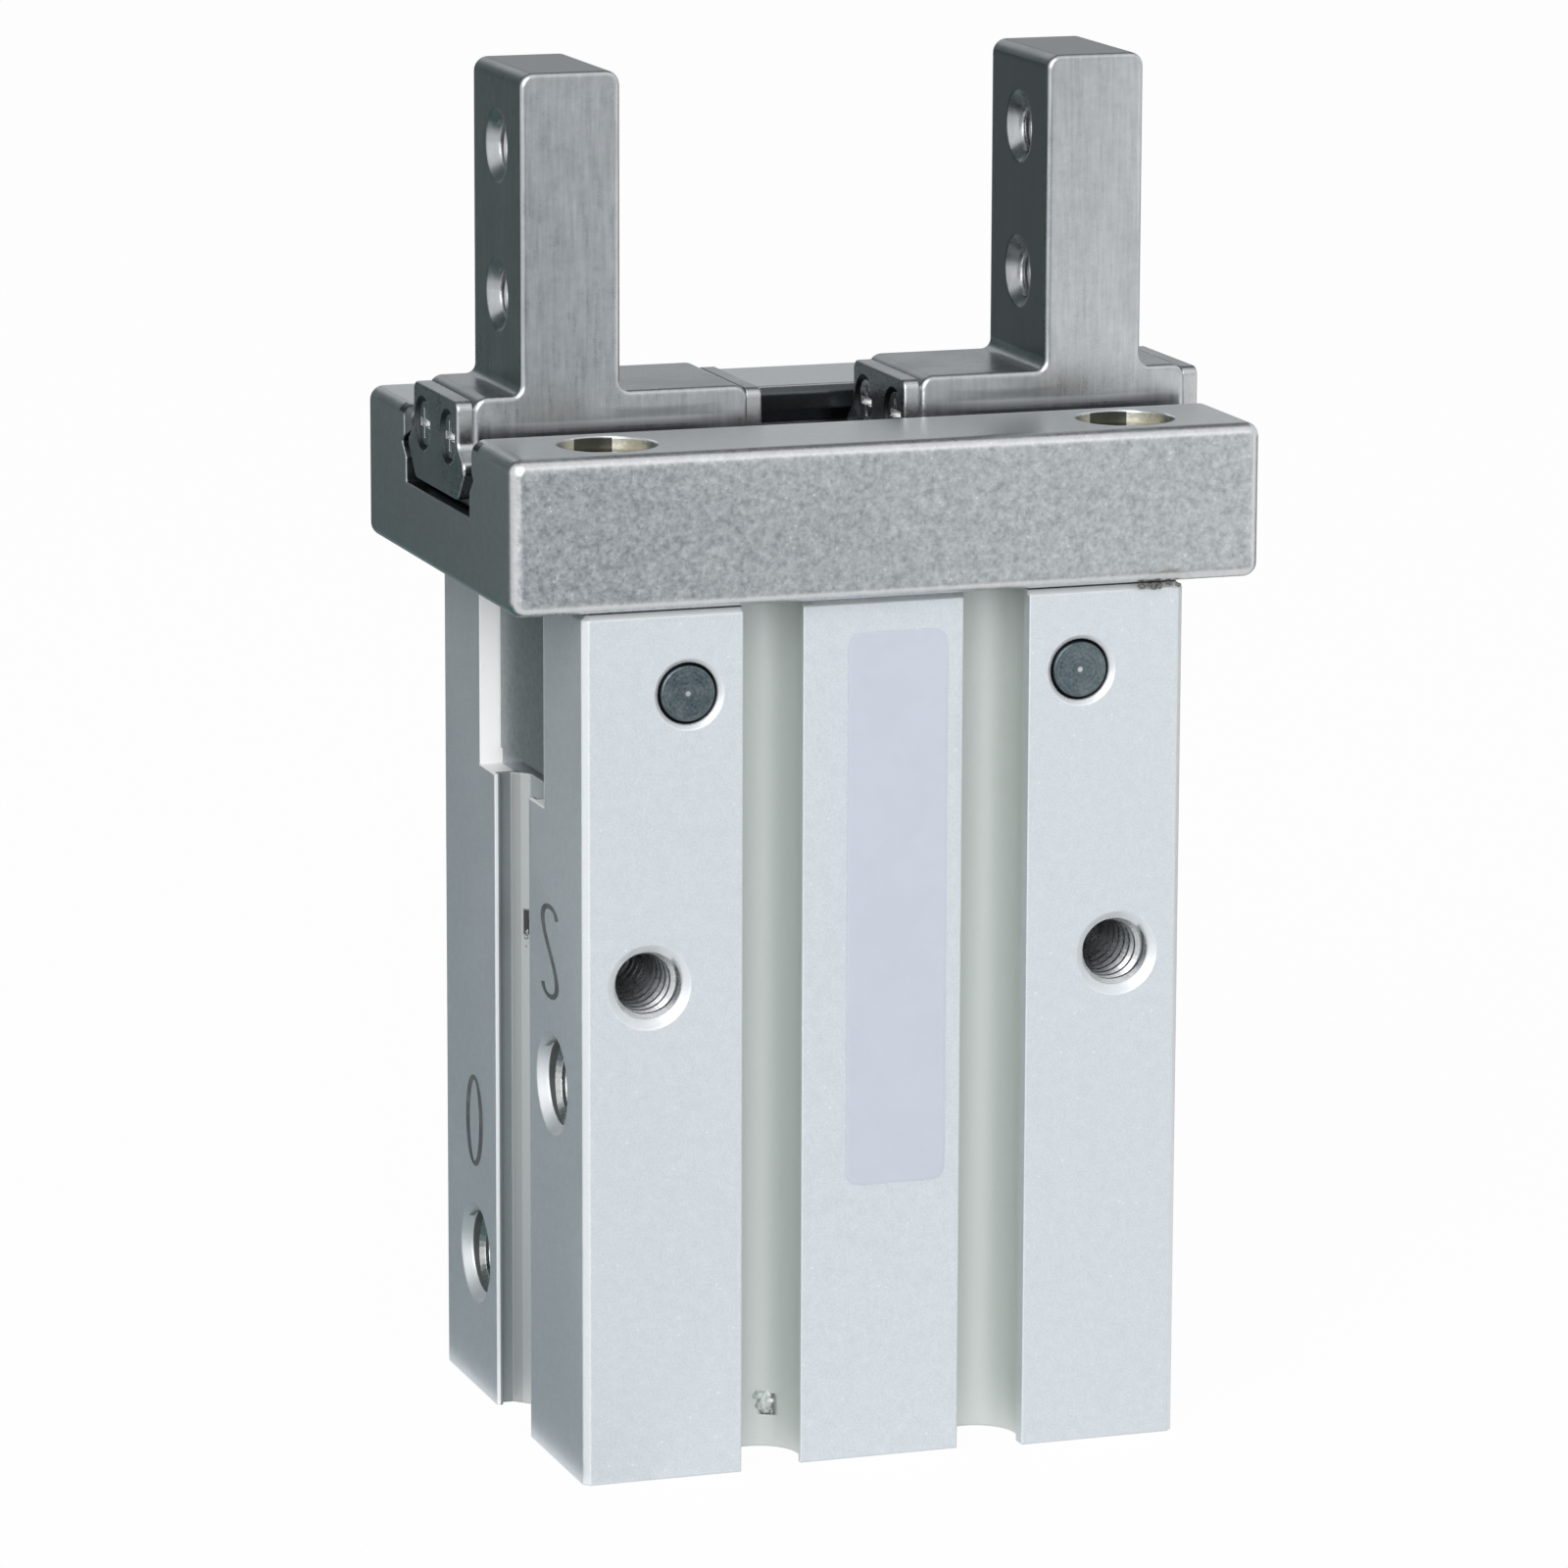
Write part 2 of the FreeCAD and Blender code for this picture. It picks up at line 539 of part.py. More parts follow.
def make_guide_rail():
    body = new_body("guide_rail")
    sketch = new_sketch(body, "guide_outline", "XY_Plane", "body_height")
    add_rectangle(sketch, "-guide_length / 2", "guide_length / 2", "-guide_depth / 2", "guide_depth / 2")
    extrude("Pad", body, sketch, "guide_bar", "guide_height")
    fillet(body, "guide_edges", "guide_edge", lambda edge, middle: True)

    tongue_face = "(body_width / 2 - tongue_setback)"
    sketch = new_sketch(body, "tongue_outline", "XY_Plane", "body_height")
    half = "lever_slot_width / 2 - tongue_clearance"
    tongue_back = f"({shaft_x} + lever_boss / 2 + tongue_gap)"
    add_rectangle(sketch, tongue_back, tongue_face, f"-({half})", half)
    add_rectangle(sketch, f"-{tongue_face}", f"-{tongue_back}", f"-({half})", half)
    extrude("Pad", body, sketch, "tongues", "lever_slot_depth - tongue_room", reverse=True)

    # The finger channel with a V race in each wall
    sketch = new_sketch(body, "channel_profile", "YZ_Plane")
    wall = "channel_width / 2"
    above = f"{guide_top} + {overcut}"
    right = [(wall, channel_floor), (wall, f"{race_height} - {race_cut}"), (f"{wall} + {race_cut}", race_height),
             (wall, f"{race_height} + {race_cut}"), (wall, above)]
    left = [(f"-({y})", z) for y, z in reversed(right)]
    add_outline(sketch, right + left)
    extrude("Pocket", body, sketch, "channel", side="Symmetric")
    top = number(guide_top)
    chamfer(body, "channel_lips", "channel_lip", lambda edge, middle: runs_along(edge, x_axis)
            and near(middle.z, top) and near(abs(middle.y), number(wall)))

    sketch = new_sketch(body, "window_outline", "XY_Plane", "body_height")
    half = "lever_upper_width / 2 + window_room"
    reach = "((finger_travel + lever_tip) / 2 + window_room)"
    for side in ("", "-"):
        add_rectangle(sketch, f"{side}{shaft_x} - {reach}", f"{side}{shaft_x} + {reach}", f"-({half})", half)
    extrude("Pocket", body, sketch, "lever_windows", reverse=True)

    sketch = new_sketch(body, "bolt_hole_outline", "XY_Plane", guide_top)
    for x_side in ("", "-"):
        for y_side in ("", "-"):
            add_circle(sketch, f"{x_side}{bolt_x}", f"{y_side}{bolt_y}", "bolt_diameter / 2")
    drill(body, sketch, "bolt_holes", "bolt_diameter + 2 * bolt_hole_room",
          counterbore=("bolt_head + 2 * counterbore_room", "counterbore_depth"))
    sketch = new_sketch(body, "guide_dowel_outline", "XY_Plane", "body_height")
    for side in ("", "-"):
        add_circle(sketch, "0", f"{side}{bolt_y}", "dowel_diameter / 2")
    drill(body, sketch, "guide_dowel_holes", "dowel_diameter", "dowel_reach + dowel_room", reverse=True)
    pieces.append(body)


def make_guide_fasteners():
    bolt = new_body("guide_bolt")
    seat = f"({guide_top} - counterbore_depth)"
    bolt_end = f"(body_height - {bolt_grip})"
    sketch = new_sketch(bolt, "bolt_profile", "XZ_Plane")
    add_outline(sketch, [
        ("0", bolt_end), ("bolt_diameter / 2 - bolt_edge", bolt_end),
        ("bolt_diameter / 2", f"{bolt_end} + bolt_edge"), ("bolt_diameter / 2", seat),
        ("bolt_head / 2", seat), ("bolt_head / 2", f"{seat} + bolt_head_height - bolt_edge"),
        ("bolt_head / 2 - bolt_edge", f"{seat} + bolt_head_height"), ("0", f"{seat} + bolt_head_height"),
    ])
    turn("Revolution", bolt, sketch, "bolt_turning")
    sketch = new_sketch(bolt, "socket_outline", "XY_Plane", f"{seat} + bolt_head_height")
    corners = []
    for step in range(6):
        corners.append((f"bolt_socket / sqrt(3) * cos({60 * step + 30} deg)",
                        f"bolt_socket / sqrt(3) * sin({60 * step + 30} deg)"))
    add_outline(sketch, corners)
    extrude("Pocket", bolt, sketch, "socket", "bolt_socket_depth")
    bolt.setExpression("Placement.Base.x", bound(bolt_x))
    bolt.setExpression("Placement.Base.y", bound(f"-{bolt_y}"))
    front = group_of("front_bolts", [bolt, mirror_of(bolt, "left_bolt", x_axis)])
    pieces.append(group_of("guide_bolts", [front, mirror_of(front, "rear_bolts", y_axis)]))

    dowels = []
    for name, side in (("front_dowel", "-"), ("rear_dowel", "")):
        dowel = doc.addObject("Part::Cylinder", name)
        dowel.setExpression("Radius", bound("dowel_diameter / 2"))
        dowel.setExpression("Height", bound("2 * dowel_reach"))
        dowel.setExpression("Placement.Base.y", bound(f"{side}{bolt_y}"))
        dowel.setExpression("Placement.Base.z", bound("body_height - dowel_reach"))
        dowels.append(dowel)
    pieces.append(group_of("guide_dowels", dowels))


def make_lever_shafts():
    shaft = new_body("right_lever_shaft")
    sketch = new_sketch(shaft, "shaft_outline", "XZ_Plane")
    add_circle(sketch, shaft_x, shaft_height, "shaft_diameter / 2")
    extrude("Pad", shaft, sketch, "shaft_bar", "body_depth - 2 * shaft_setback", side="Symmetric")
    chamfer(shaft, "shaft_ends", "shaft_chamfer", rim("shaft_diameter / 2", lambda middle: True))
    pieces.append(shaft)
    pieces.append(mirror_of(shaft, "left_lever_shaft", x_axis))


def make_fingers():
    body = new_body("right_finger")
    sketch = new_sketch(body, "finger_profile", "XZ_Plane")
    add_outline(sketch, [
        (base_inner, base_bottom), (base_outer, base_bottom), (base_outer, base_top), (upright_outer, base_top),
        (upright_outer, tip_height), (upright_inner, tip_height), (upright_inner, base_top),
        (base_inner, base_top),
    ])
    extrude("Pad", body, sketch, "finger_blank", "finger_width", side="Symmetric")
    top, tip = number(base_top), number(tip_height)
    ends = (number(base_inner), number(base_outer))
    sides = (number(upright_inner), number(upright_outer))
    face = number("finger_width / 2")
    fillet(body, "finger_corners", "finger_tip_round", lambda edge, middle: runs_along(edge, y_axis)
           and (near(middle.z, tip) or (near(middle.z, top) and any(near(middle.x, end) for end in ends))))
    fillet(body, "finger_foot", "finger_foot_round", lambda edge, middle: runs_along(edge, y_axis)
           and near(middle.z, top) and any(near(middle.x, side) for side in sides))
    fillet(body, "finger_outline_edges", "finger_edge", lambda edge, middle: runs_along(edge, z_axis)
           and near(abs(middle.y), face) and any(near(middle.x, side) for side in sides))

    sketch = new_sketch(body, "finger_race_profile", "YZ_Plane")
    for side in ("", "-"):
        add_outline(sketch, [
            (f"{side}(finger_width / 2 - {race_cut})", race_height),
            (f"{side}(finger_width / 2 + {overcut})", f"{race_height} + {race_cut} + {overcut}"),
            (f"{side}(finger_width / 2 + {overcut})", f"{race_height} - {race_cut} - {overcut}"),
        ])
    extrude("Pocket", body, sketch, "finger_races", side="Symmetric")

    sketch = new_sketch(body, "lever_pocket_outline", "XY_Plane", base_bottom)
    tip_half = "lever_tip / 2 + lever_tip_room"
    arm_half = "lever_upper_width / 2 + window_room"
    add_rectangle(sketch, f"{lever_tip_x} - ({tip_half})", f"{lever_tip_x} + {tip_half}",
                  f"-({arm_half})", arm_half)
    lever_top = f"({shaft_height} + lever_upper_arm + lever_tip / 2)"
    extrude("Pocket", body, sketch, "lever_pocket", f"{lever_top} + lever_tip_headroom - {base_bottom}",
            reverse=True)

    for name, face_x, inner in (("outer", upright_outer, False), ("inner", upright_inner, True)):
        sketch = new_sketch(body, name + "_finger_hole_outline", "YZ_Plane", face_x)
        for row in range(2):
            add_circle(sketch, "0", f"{tip_height} - finger_hole_drop - {row} * finger_hole_spacing",
                       "finger_hole_core / 2")
        drill(body, sketch, name + "_finger_holes", "finger_hole_core", "finger_thickness / 2",
              mouth="finger_hole_mouth", reverse=inner)
    for name, end, inward in (("inner", base_inner, True), ("outer", base_outer, False)):
        sketch = new_sketch(body, name + "_screw_outline", "YZ_Plane", end)
        for side in ("", "-"):
            add_circle(sketch, f"{side}screw_spacing / 2", screw_height, "screw_diameter / 2 + screw_room")
        drill(body, sketch, name + "_screw_holes", "screw_diameter + 2 * screw_room",
              "screw_reach + screw_diameter / 2", reverse=inward)
    pieces.append(body)
    pieces.append(mirror_of(body, "left_finger", x_axis))


def make_stopper(label, seat, inward):
    body = new_body(label)
    sketch = new_sketch(body, label + "_outline", "YZ_Plane", seat)
    low, high = f"{channel_floor} + stopper_room", f"{base_top} - stopper_drop"
    shoulder = f"{high} - stopper_neck_height"
    wide = "(channel_width / 2 - stopper_side_room)"
    right = [("stopper_foot / 2", low), (wide, f"{shoulder} - stopper_flare"),
             ("stopper_neck / 2", shoulder), ("stopper_neck / 2", high)]
    left = [(f"-{y}", z) for y, z in reversed(right)]
    add_outline(sketch, right + left)
    extrude("Pad", body, sketch, label + "_plate", "stopper_thickness", reverse=inward)
    fillet(body, label + "_corners", "stopper_round", lambda edge, middle: runs_along(edge, x_axis))
    outside = f"{seat} - stopper_thickness" if inward else f"{seat} + stopper_thickness"
    fillet(body, label + "_rim", "stopper_edge", lambda edge, middle: near(middle.x, number(outside)))
    sketch = new_sketch(body, label + "_hole_outline", "YZ_Plane", outside)
    for side in ("", "-"):
        add_circle(sketch, f"{side}screw_spacing / 2", screw_height, "screw_diameter / 2")
    drill(body, sketch, label + "_holes", "screw_diameter + 2 * screw_room",
          mouth="screw_head + 2 * screw_head_room + 2 * screw_sink", reverse=inward)
    return body


def make_stoppers():
    for name, seat, inward in (("outer", base_outer, False), ("inner", base_inner, True)):
        plate = make_stopper(f"right_{name}_stopper", seat, inward)
        pieces.append(plate)
        pieces.append(mirror_of(plate, f"left_{name}_stopper", x_axis))

    # Countersunk screws, drawn upright with the head's face at the top
    screw = new_body("stopper_screw")
    screw_length = "(stopper_thickness - screw_sink + screw_reach)"
    sketch = new_sketch(screw, "screw_profile", "XZ_Plane")
    add_outline(sketch, [
        ("0", f"-{screw_length}"), ("screw_diameter / 2", f"-{screw_length}"),
        ("screw_diameter / 2", "-(screw_head - screw_diameter) / 2"), ("screw_head / 2", "0"), ("0", "0"),
    ])
    turn("Revolution", screw, sketch, "screw_turning")
    for name, along, across in (("recess_slot", "screw_recess_length / 2", "screw_recess_width / 2"),
                                ("recess_cross", "screw_recess_width / 2", "screw_recess_length / 2")):
        sketch = new_sketch(screw, name + "_outline", "XY_Plane")
        add_rectangle(sketch, f"-{along}", along, f"-{across}", across)
        extrude("Pocket", screw, sketch, name, "screw_recess_depth")
    screw.Placement.Rotation = FreeCAD.Rotation(y_axis, 90)
    screw.setExpression("Placement.Base.x", bound(f"{base_outer} + stopper_thickness - screw_sink"))
    screw.setExpression("Placement.Base.y", bound("screw_spacing / 2"))
    screw.setExpression("Placement.Base.z", bound(screw_height))
    outer = group_of("outer_screws", [screw, mirror_of(screw, "front_screw", y_axis)])
    inner = mirror_of(outer, "inner_screws", x_axis, f"({base_inner} + {base_outer}) / 2")
    screws = group_of("right_stopper_screws", [outer, inner])
    pieces.append(screws)
    pieces.append(mirror_of(screws, "left_stopper_screws", x_axis))


def make_rollers():
    # Each row stands at the inner end of its race, with half the travel free at the outer end
    row_start = f"({base_inner} + roller_end_room + roller_diameter / 2)"
    row_end = f"({base_outer} - roller_end_room - roller_diameter / 2 - finger_travel / 2)"
    for row, side in (("front", "-"), ("rear", "")):
        members = []
        for place in range(roller_count):
            lean = 1 if place % 2 else -1
            roller = doc.addObject("Part::Cylinder", f"{row}_roller_{place}")
            roller.setExpression("Radius", bound("roller_diameter / 2"))
            roller.setExpression("Height", bound(roller_length))
            roller.Placement.Rotation = FreeCAD.Rotation(x_axis, 45 * lean)
            across = f"{lean} * {roller_length} / 2 / sqrt(2)"
            share = f"{place} / {roller_count - 1}"
            roller.setExpression("Placement.Base.x", bound(f"{row_start} + ({row_end} - {row_start}) * {share}"))
            roller.setExpression("Placement.Base.y", bound(f"{side}{race_middle} + {across}"))
            roller.setExpression("Placement.Base.z", bound(f"{race_height} - {roller_length} / 2 / sqrt(2)"))
            members.append(roller)
        right = group_of(f"right_{row}_rollers", members)
        pieces.append(right)
        pieces.append(mirror_of(right, f"left_{row}_rollers", x_axis))


def make_levers():
    # Drawn about its shaft with the inner arm level, then swung to the open position
    body = new_body("right_lever")
    half_arm = "lever_arm_height / 2"
    sketch = new_sketch(body, "lever_hub_outline", "XZ_Plane")
    add_circle(sketch, "0", "0", "lever_boss / 2")
    extrude("Pad", body, sketch, "lever_hub", "lever_slot_width - 2 * lever_boss_room", side="Symmetric")
    sketch = new_sketch(body, "upper_arm_outline", "XZ_Plane")
    add_rectangle(sketch, f"-{half_arm}", half_arm, "0", "lever_upper_arm")
    extrude("Pad", body, sketch, "upper_arm", "lever_upper_width", side="Symmetric")
    sketch = new_sketch(body, "upper_tip_outline", "XZ_Plane")
    add_circle(sketch, "0", "lever_upper_arm", "lever_tip / 2")
    extrude("Pad", body, sketch, "upper_tip", "lever_upper_width", side="Symmetric")
    sketch = new_sketch(body, "inner_arm_outline", "XZ_Plane")
    upper = [("0", "lever_boss / 2"), (f"lever_nose - {lever_inner_arm}", "lever_nose_height / 2"),
             (f"-{lever_inner_arm}", "lever_nose_height / 2")]
    lower = [(x, f"-{z}") for x, z in reversed(upper)]
    add_outline(sketch, upper + lower)
    extrude("Pad", body, sketch, "inner_arm", "lever_inner_width", side="Symmetric")
    sketch = new_sketch(body, "needle_seat_outline", "XZ_Plane")
    add_circle(sketch, f"-{lever_inner_arm}", "0", "needle_diameter / 2 + needle_seat_room")
    add_circle(sketch, "0", "0", "shaft_diameter / 2 + lever_running_fit")
    extrude("Pocket", body, sketch, "needle_seat_and_bearing", side="Symmetric")
    body.Placement.Rotation = FreeCAD.Rotation(y_axis, number(lever_angle))
    body.setExpression("Placement.Base.x", bound(shaft_x))
    body.setExpression("Placement.Base.z", bound(shaft_height))
    pieces.append(body)
    pieces.append(mirror_of(body, "left_lever", x_axis))

    needle = doc.addObject("Part::Cylinder", "right_needle_roller")
    needle.Label = "right_needle_roller"
    needle.setExpression("Radius", bound("needle_diameter / 2"))
    needle.setExpression("Height", bound("lever_inner_width"))
    needle.Placement.Rotation = FreeCAD.Rotation(x_axis, -90)
    needle.setExpression("Placement.Base.x", bound(f"{shaft_x} - {lever_inner_arm} * cos({lever_angle})"))
    needle.setExpression("Placement.Base.y", bound("-lever_inner_width / 2"))
    needle.setExpression("Placement.Base.z", bound(joint_height))
    pieces.append(needle)
    pieces.append(mirror_of(needle, "left_needle_roller", x_axis))


def make_rod_joint():
    body = new_body("rod_joint")
    sketch = new_sketch(body, "joint_profile", "XZ_Plane")
    end, web = joint_half_length, "joint_web / 2"
    low, high = f"{joint_height} - {joint_half_height}", f"{joint_height} + {joint_half_height}"
    groove_low, groove_high = f"{joint_height} - {joint_half_groove}", f"{joint_height} + {joint_half_groove}"
    right = [(end, low), (end, groove_low), (web, groove_low), (web, groove_high), (end, groove_high), (end, high)]
    left = [(f"-{x}", z) for x, z in reversed(right)]
    add_outline(sketch, right + left)
    extrude("Pad", body, sketch, "joint_blank", "joint_width", side="Symmetric")
    sketch = new_sketch(body, "spigot_hole_outline", "XY_Plane", high)
    add_circle(sketch, "0", "0", "spigot_diameter / 2")
    drill(body, sketch, "spigot_hole", "spigot_diameter + 2 * spigot_fit")
    pieces.append(body)


def make_piston():
    body = new_body("piston")
    outer = f"({bore_radius} - piston_clearance)"
    seal_low = f"({piston_top} - piston_land - piston_seal_width)"
    magnet_low = "(piston_bottom + piston_land)"
    seal_floor, magnet_floor = f"{outer} - piston_seal_depth", f"{outer} - magnet_depth"
    joint_low, joint_high = f"{joint_height} - {joint_half_height}", f"{joint_height} + {joint_half_height}"
    sketch = new_sketch(body, "piston_profile", "XZ_Plane")
    add_outline(sketch, [
        ("0", "piston_bottom"), (outer, "piston_bottom"), (outer, magnet_low), (magnet_floor, magnet_low),
        (magnet_floor, f"{magnet_low} + magnet_width"), (outer, f"{magnet_low} + magnet_width"), (outer, seal_low),
        (seal_floor, seal_low), (seal_floor, f"{seal_low} + piston_seal_width"),
        (outer, f"{seal_low} + piston_seal_width"), (outer, piston_top), ("rod_diameter / 2", piston_top),
        ("rod_diameter / 2", joint_low), ("spigot_diameter / 2", joint_low), ("spigot_diameter / 2", joint_high),
        ("0", joint_high),
    ])
    turn("Revolution", body, sketch, "piston_turning")
    pieces.append(body)

    room = "seal_clearance"
    make_ring("piston_seal", f"{seal_floor} + {room}", f"{bore_radius} - {room}", f"{seal_low} + {room}",
              f"{seal_low} + piston_seal_width - {room}", lip="piston_seal_width / 4")
    make_ring("piston_magnet", f"{magnet_floor} + {room}", f"{outer} - {room}", f"{magnet_low} + {room}",
              f"{magnet_low} + magnet_width - {room}")
    make_ring("rod_seal", f"rod_diameter / 2 + {room}", f"rod_seal_diameter / 2 - {room}",
              f"rod_seal_height + {room}", f"rod_seal_height + rod_seal_width - {room}")


def make_ring(label, inner, outer, low, high, lip=None):
    body = new_body(label)
    sketch = new_sketch(body, label + "_section", "XZ_Plane")
    if lip:
        # The running lip stands proud in the middle of the ring's height
        add_outline(sketch, [(inner, low), (f"{outer} - {lip}", low), (outer, f"{low} + {lip}"),
                             (outer, f"{high} - {lip}"), (f"{outer} - {lip}", high), (inner, high)])
    else:
        add_outline(sketch, [(inner, low), (outer, low), (outer, high), (inner, high)])
    turn("Revolution", body, sketch, label + "_turning")
    pieces.append(body)


def make_bottom_closing():
    body = new_body("end_cap")
    outer = f"({locating_radius} - cap_clearance)"
    low = "(clip_groove_height + clip_groove_width)"
    ring_low = f"(({low} + cap_seat - cap_clearance) / 2 - cap_seal_section / 2)"
    ring_floor = f"({outer} - cap_seal_section * 3 / 4)"
    neck = f"({bore_radius} - cap_clearance)"
    high = "cap_seat - cap_clearance"
    dish, dish_depth = f"{bore_radius} * 3 / 5", "cap_seal_section / 2"
    sketch = new_sketch(body, "cap_profile", "XZ_Plane")
    add_outline(sketch, [
        ("0", f"{low} + {dish_depth}"), (dish, f"{low} + {dish_depth}"), (f"{dish} + {dish_depth}", low),
        (outer, low), (outer, ring_low), (ring_floor, ring_low), (ring_floor, f"{ring_low} + cap_seal_section"),
        (outer, f"{ring_low} + cap_seal_section"), (outer, high), (neck, high), (neck, f"{high} + cap_rise"),
        ("0", f"{high} + cap_rise"),
    ])
    turn("Revolution", body, sketch, "cap_turning")
    pieces.append(body)
    room = "seal_clearance"
    make_ring("end_cap_seal", f"{ring_floor} + {room}", f"{locating_radius} - {room}", f"{ring_low} + {room}",
              f"{ring_low} + cap_seal_section - {room}", lip="cap_seal_section / 4")

    clip = new_body("retaining_clip")
    clip_low = "(clip_groove_height + (clip_groove_width - clip_section) / 2)"
    ring = f"({clip_radius} - cap_clearance)"
    ear_x = "(clip_gap / 2 + clip_ear / 2)"
    ear_radius = f"({ring} - clip_ear / 2)"
    ear_y = f"sqrt({ear_radius} * {ear_radius} - {ear_x} * {ear_x})"
    sketch = new_sketch(clip, "clip_outline", "XY_Plane", clip_low)
    add_circle(sketch, "0", "0", ring)
    add_circle(sketch, "0", "0", f"{ring} - clip_width")
    extrude("Pad", clip, sketch, "clip_ring", "clip_section")
    sketch = new_sketch(clip, "clip_gap_outline", "XY_Plane", clip_low)
    add_rectangle(sketch, "-clip_gap / 2", "clip_gap / 2", "0", f"{ring} + {overcut}")
    extrude("Pocket", clip, sketch, "clip_opening", side="Symmetric")
    sketch = new_sketch(clip, "clip_ear_outline", "XY_Plane", clip_low)
    for side in ("", "-"):
        add_circle(sketch, f"{side}{ear_x}", ear_y, "clip_ear / 2")
    extrude("Pad", clip, sketch, "clip_ears", "clip_section")
    sketch = new_sketch(clip, "clip_ear_hole_outline", "XY_Plane", clip_low)
    for side in ("", "-"):
        add_circle(sketch, f"{side}{ear_x}", ear_y, "clip_ear_hole / 2")
    extrude("Pocket", clip, sketch, "clip_ear_holes", side="Symmetric")
    pieces.append(clip)


make_body_block()
make_guide_rail()
make_guide_fasteners()
make_lever_shafts()
make_fingers()
make_stoppers()
make_rollers()
make_levers()
make_rod_joint()
make_piston()
make_bottom_closing()
doc.recompute()

failed = [item.Name for item in doc.Objects if "Invalid" in item.State or "Error" in item.State]
for piece in pieces:
    if piece.Shape.isNull() or not piece.Shape.isValid() or not piece.Shape.Solids:
        failed.append(piece.Label)
if failed:
    raise RuntimeError("not built: " + ", ".join(failed))

os.makedirs("parts", exist_ok=True)
for piece in pieces:
    piece.Shape.exportStep(f"parts/{piece.Label}.step")
    box = piece.Shape.BoundBox
    print(f"{piece.Label}: {len(piece.Shape.Solids)} solid(s), {piece.Shape.Volume:.2f} mm3,"
          f" x {box.XMin:.2f}..{box.XMax:.2f} y {box.YMin:.2f}..{box.YMax:.2f} z {box.ZMin:.2f}..{box.ZMax:.2f}")
print(f"piston travel {number(piston_travel):.4f} mm, lever swing {2 * number(lever_angle):.4f} degrees")
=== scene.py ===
import math
import random

import bmesh
import bpy
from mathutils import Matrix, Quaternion, Vector


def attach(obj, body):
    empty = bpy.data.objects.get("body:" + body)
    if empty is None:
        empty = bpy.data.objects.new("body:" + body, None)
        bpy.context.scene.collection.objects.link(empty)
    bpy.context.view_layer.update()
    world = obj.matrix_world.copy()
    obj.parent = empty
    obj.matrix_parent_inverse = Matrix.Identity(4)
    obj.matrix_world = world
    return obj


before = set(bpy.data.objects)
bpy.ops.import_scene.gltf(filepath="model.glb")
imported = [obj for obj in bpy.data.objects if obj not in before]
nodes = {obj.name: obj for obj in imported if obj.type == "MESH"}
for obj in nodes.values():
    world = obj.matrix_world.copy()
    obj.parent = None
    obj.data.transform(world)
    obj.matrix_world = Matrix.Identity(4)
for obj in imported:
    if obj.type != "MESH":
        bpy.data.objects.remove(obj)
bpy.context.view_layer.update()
mm = 0.001  # the scene is in metres, sizes below are in millimetres unless a note says otherwise
print("frame loaded:", len(nodes), "nodes")


# Small helpers for wiring shader nodes

def setInput(tree, socket, value):
    if isinstance(value, bpy.types.NodeSocket):
        tree.links.new(value, socket)
    else:
        socket.default_value = value


def addNode(tree, kind, inputs=None, **settings):
    node = tree.nodes.new(kind)
    for name, value in settings.items():
        setattr(node, name, value)
    for name, value in (inputs or {}).items():
        setInput(tree, node.inputs[name], value)
    return node


def doMath(tree, operation, *values):
    node = addNode(tree, "ShaderNodeMath", operation=operation)
    for socket, value in zip(node.inputs, values):
        setInput(tree, socket, value)
    return node.outputs[0]


def doVector(tree, operation, *values):
    node = addNode(tree, "ShaderNodeVectorMath", operation=operation)
    for socket, value in zip(node.inputs, values):
        setInput(tree, socket, value)
    return node.outputs["Value" if operation in ("LENGTH", "DOT_PRODUCT") else "Vector"]


def mapRange(tree, value, low, high, toLow=0.0, toHigh=1.0, smooth=False):
    node = addNode(tree, "ShaderNodeMapRange", interpolation_type="SMOOTHSTEP" if smooth else "LINEAR")
    for socket, given in zip(node.inputs, (value, low, high, toLow, toHigh)):
        setInput(tree, socket, given)
    return node.outputs[0]


def mixColour(tree, share, first, second):
    node = addNode(tree, "ShaderNodeMix", data_type="RGBA")
    colourInputs = [socket for socket in node.inputs if socket.type == "RGBA"]
    setInput(tree, node.inputs[0], share)
    for socket, value in zip(colourInputs, (first, second)):
        setInput(tree, socket, value)
    return next(socket for socket in node.outputs if socket.type == "RGBA")


def noise(tree, position, scale, detail=3.0, rough=0.55, distortion=0.0):
    node = addNode(tree, "ShaderNodeTexNoise", {
        "Vector": position, "Scale": scale, "Detail": detail, "Roughness": rough, "Distortion": distortion})
    return node.outputs[0]


def newGroup(name, inputs, outputs):
    group = bpy.data.node_groups.new(name, "ShaderNodeTree")
    for way, sockets in (("INPUT", inputs), ("OUTPUT", outputs)):
        for label, kind in sockets.items():
            group.interface.new_socket(name=label, in_out=way, socket_type="NodeSocket" + kind)
    return group, group.nodes.new("NodeGroupInput").outputs, group.nodes.new("NodeGroupOutput").inputs


def placeGroup(tree, group, inputs):
    return addNode(tree, "ShaderNodeGroup", inputs, node_tree=group).outputs


def clearTree(owner):
    # empty shader tree of a new material or world
    owner.use_nodes = True
    owner.node_tree.nodes.clear()
    return owner.node_tree


def colour(values):
    return (*values, 1.0)


def layTint(tree, tint, mask, share, layer):
    # lays a colour over the tint where the mask is, at a share of full cover
    return mixColour(tree, doMath(tree, "MULTIPLY", mask, share), tint, colour(layer))


def blendTones(tree, first, second, share):
    return doMath(tree, "ADD", doMath(tree, "MULTIPLY", first, share),
                  doMath(tree, "MULTIPLY", second, 1.0 - share))


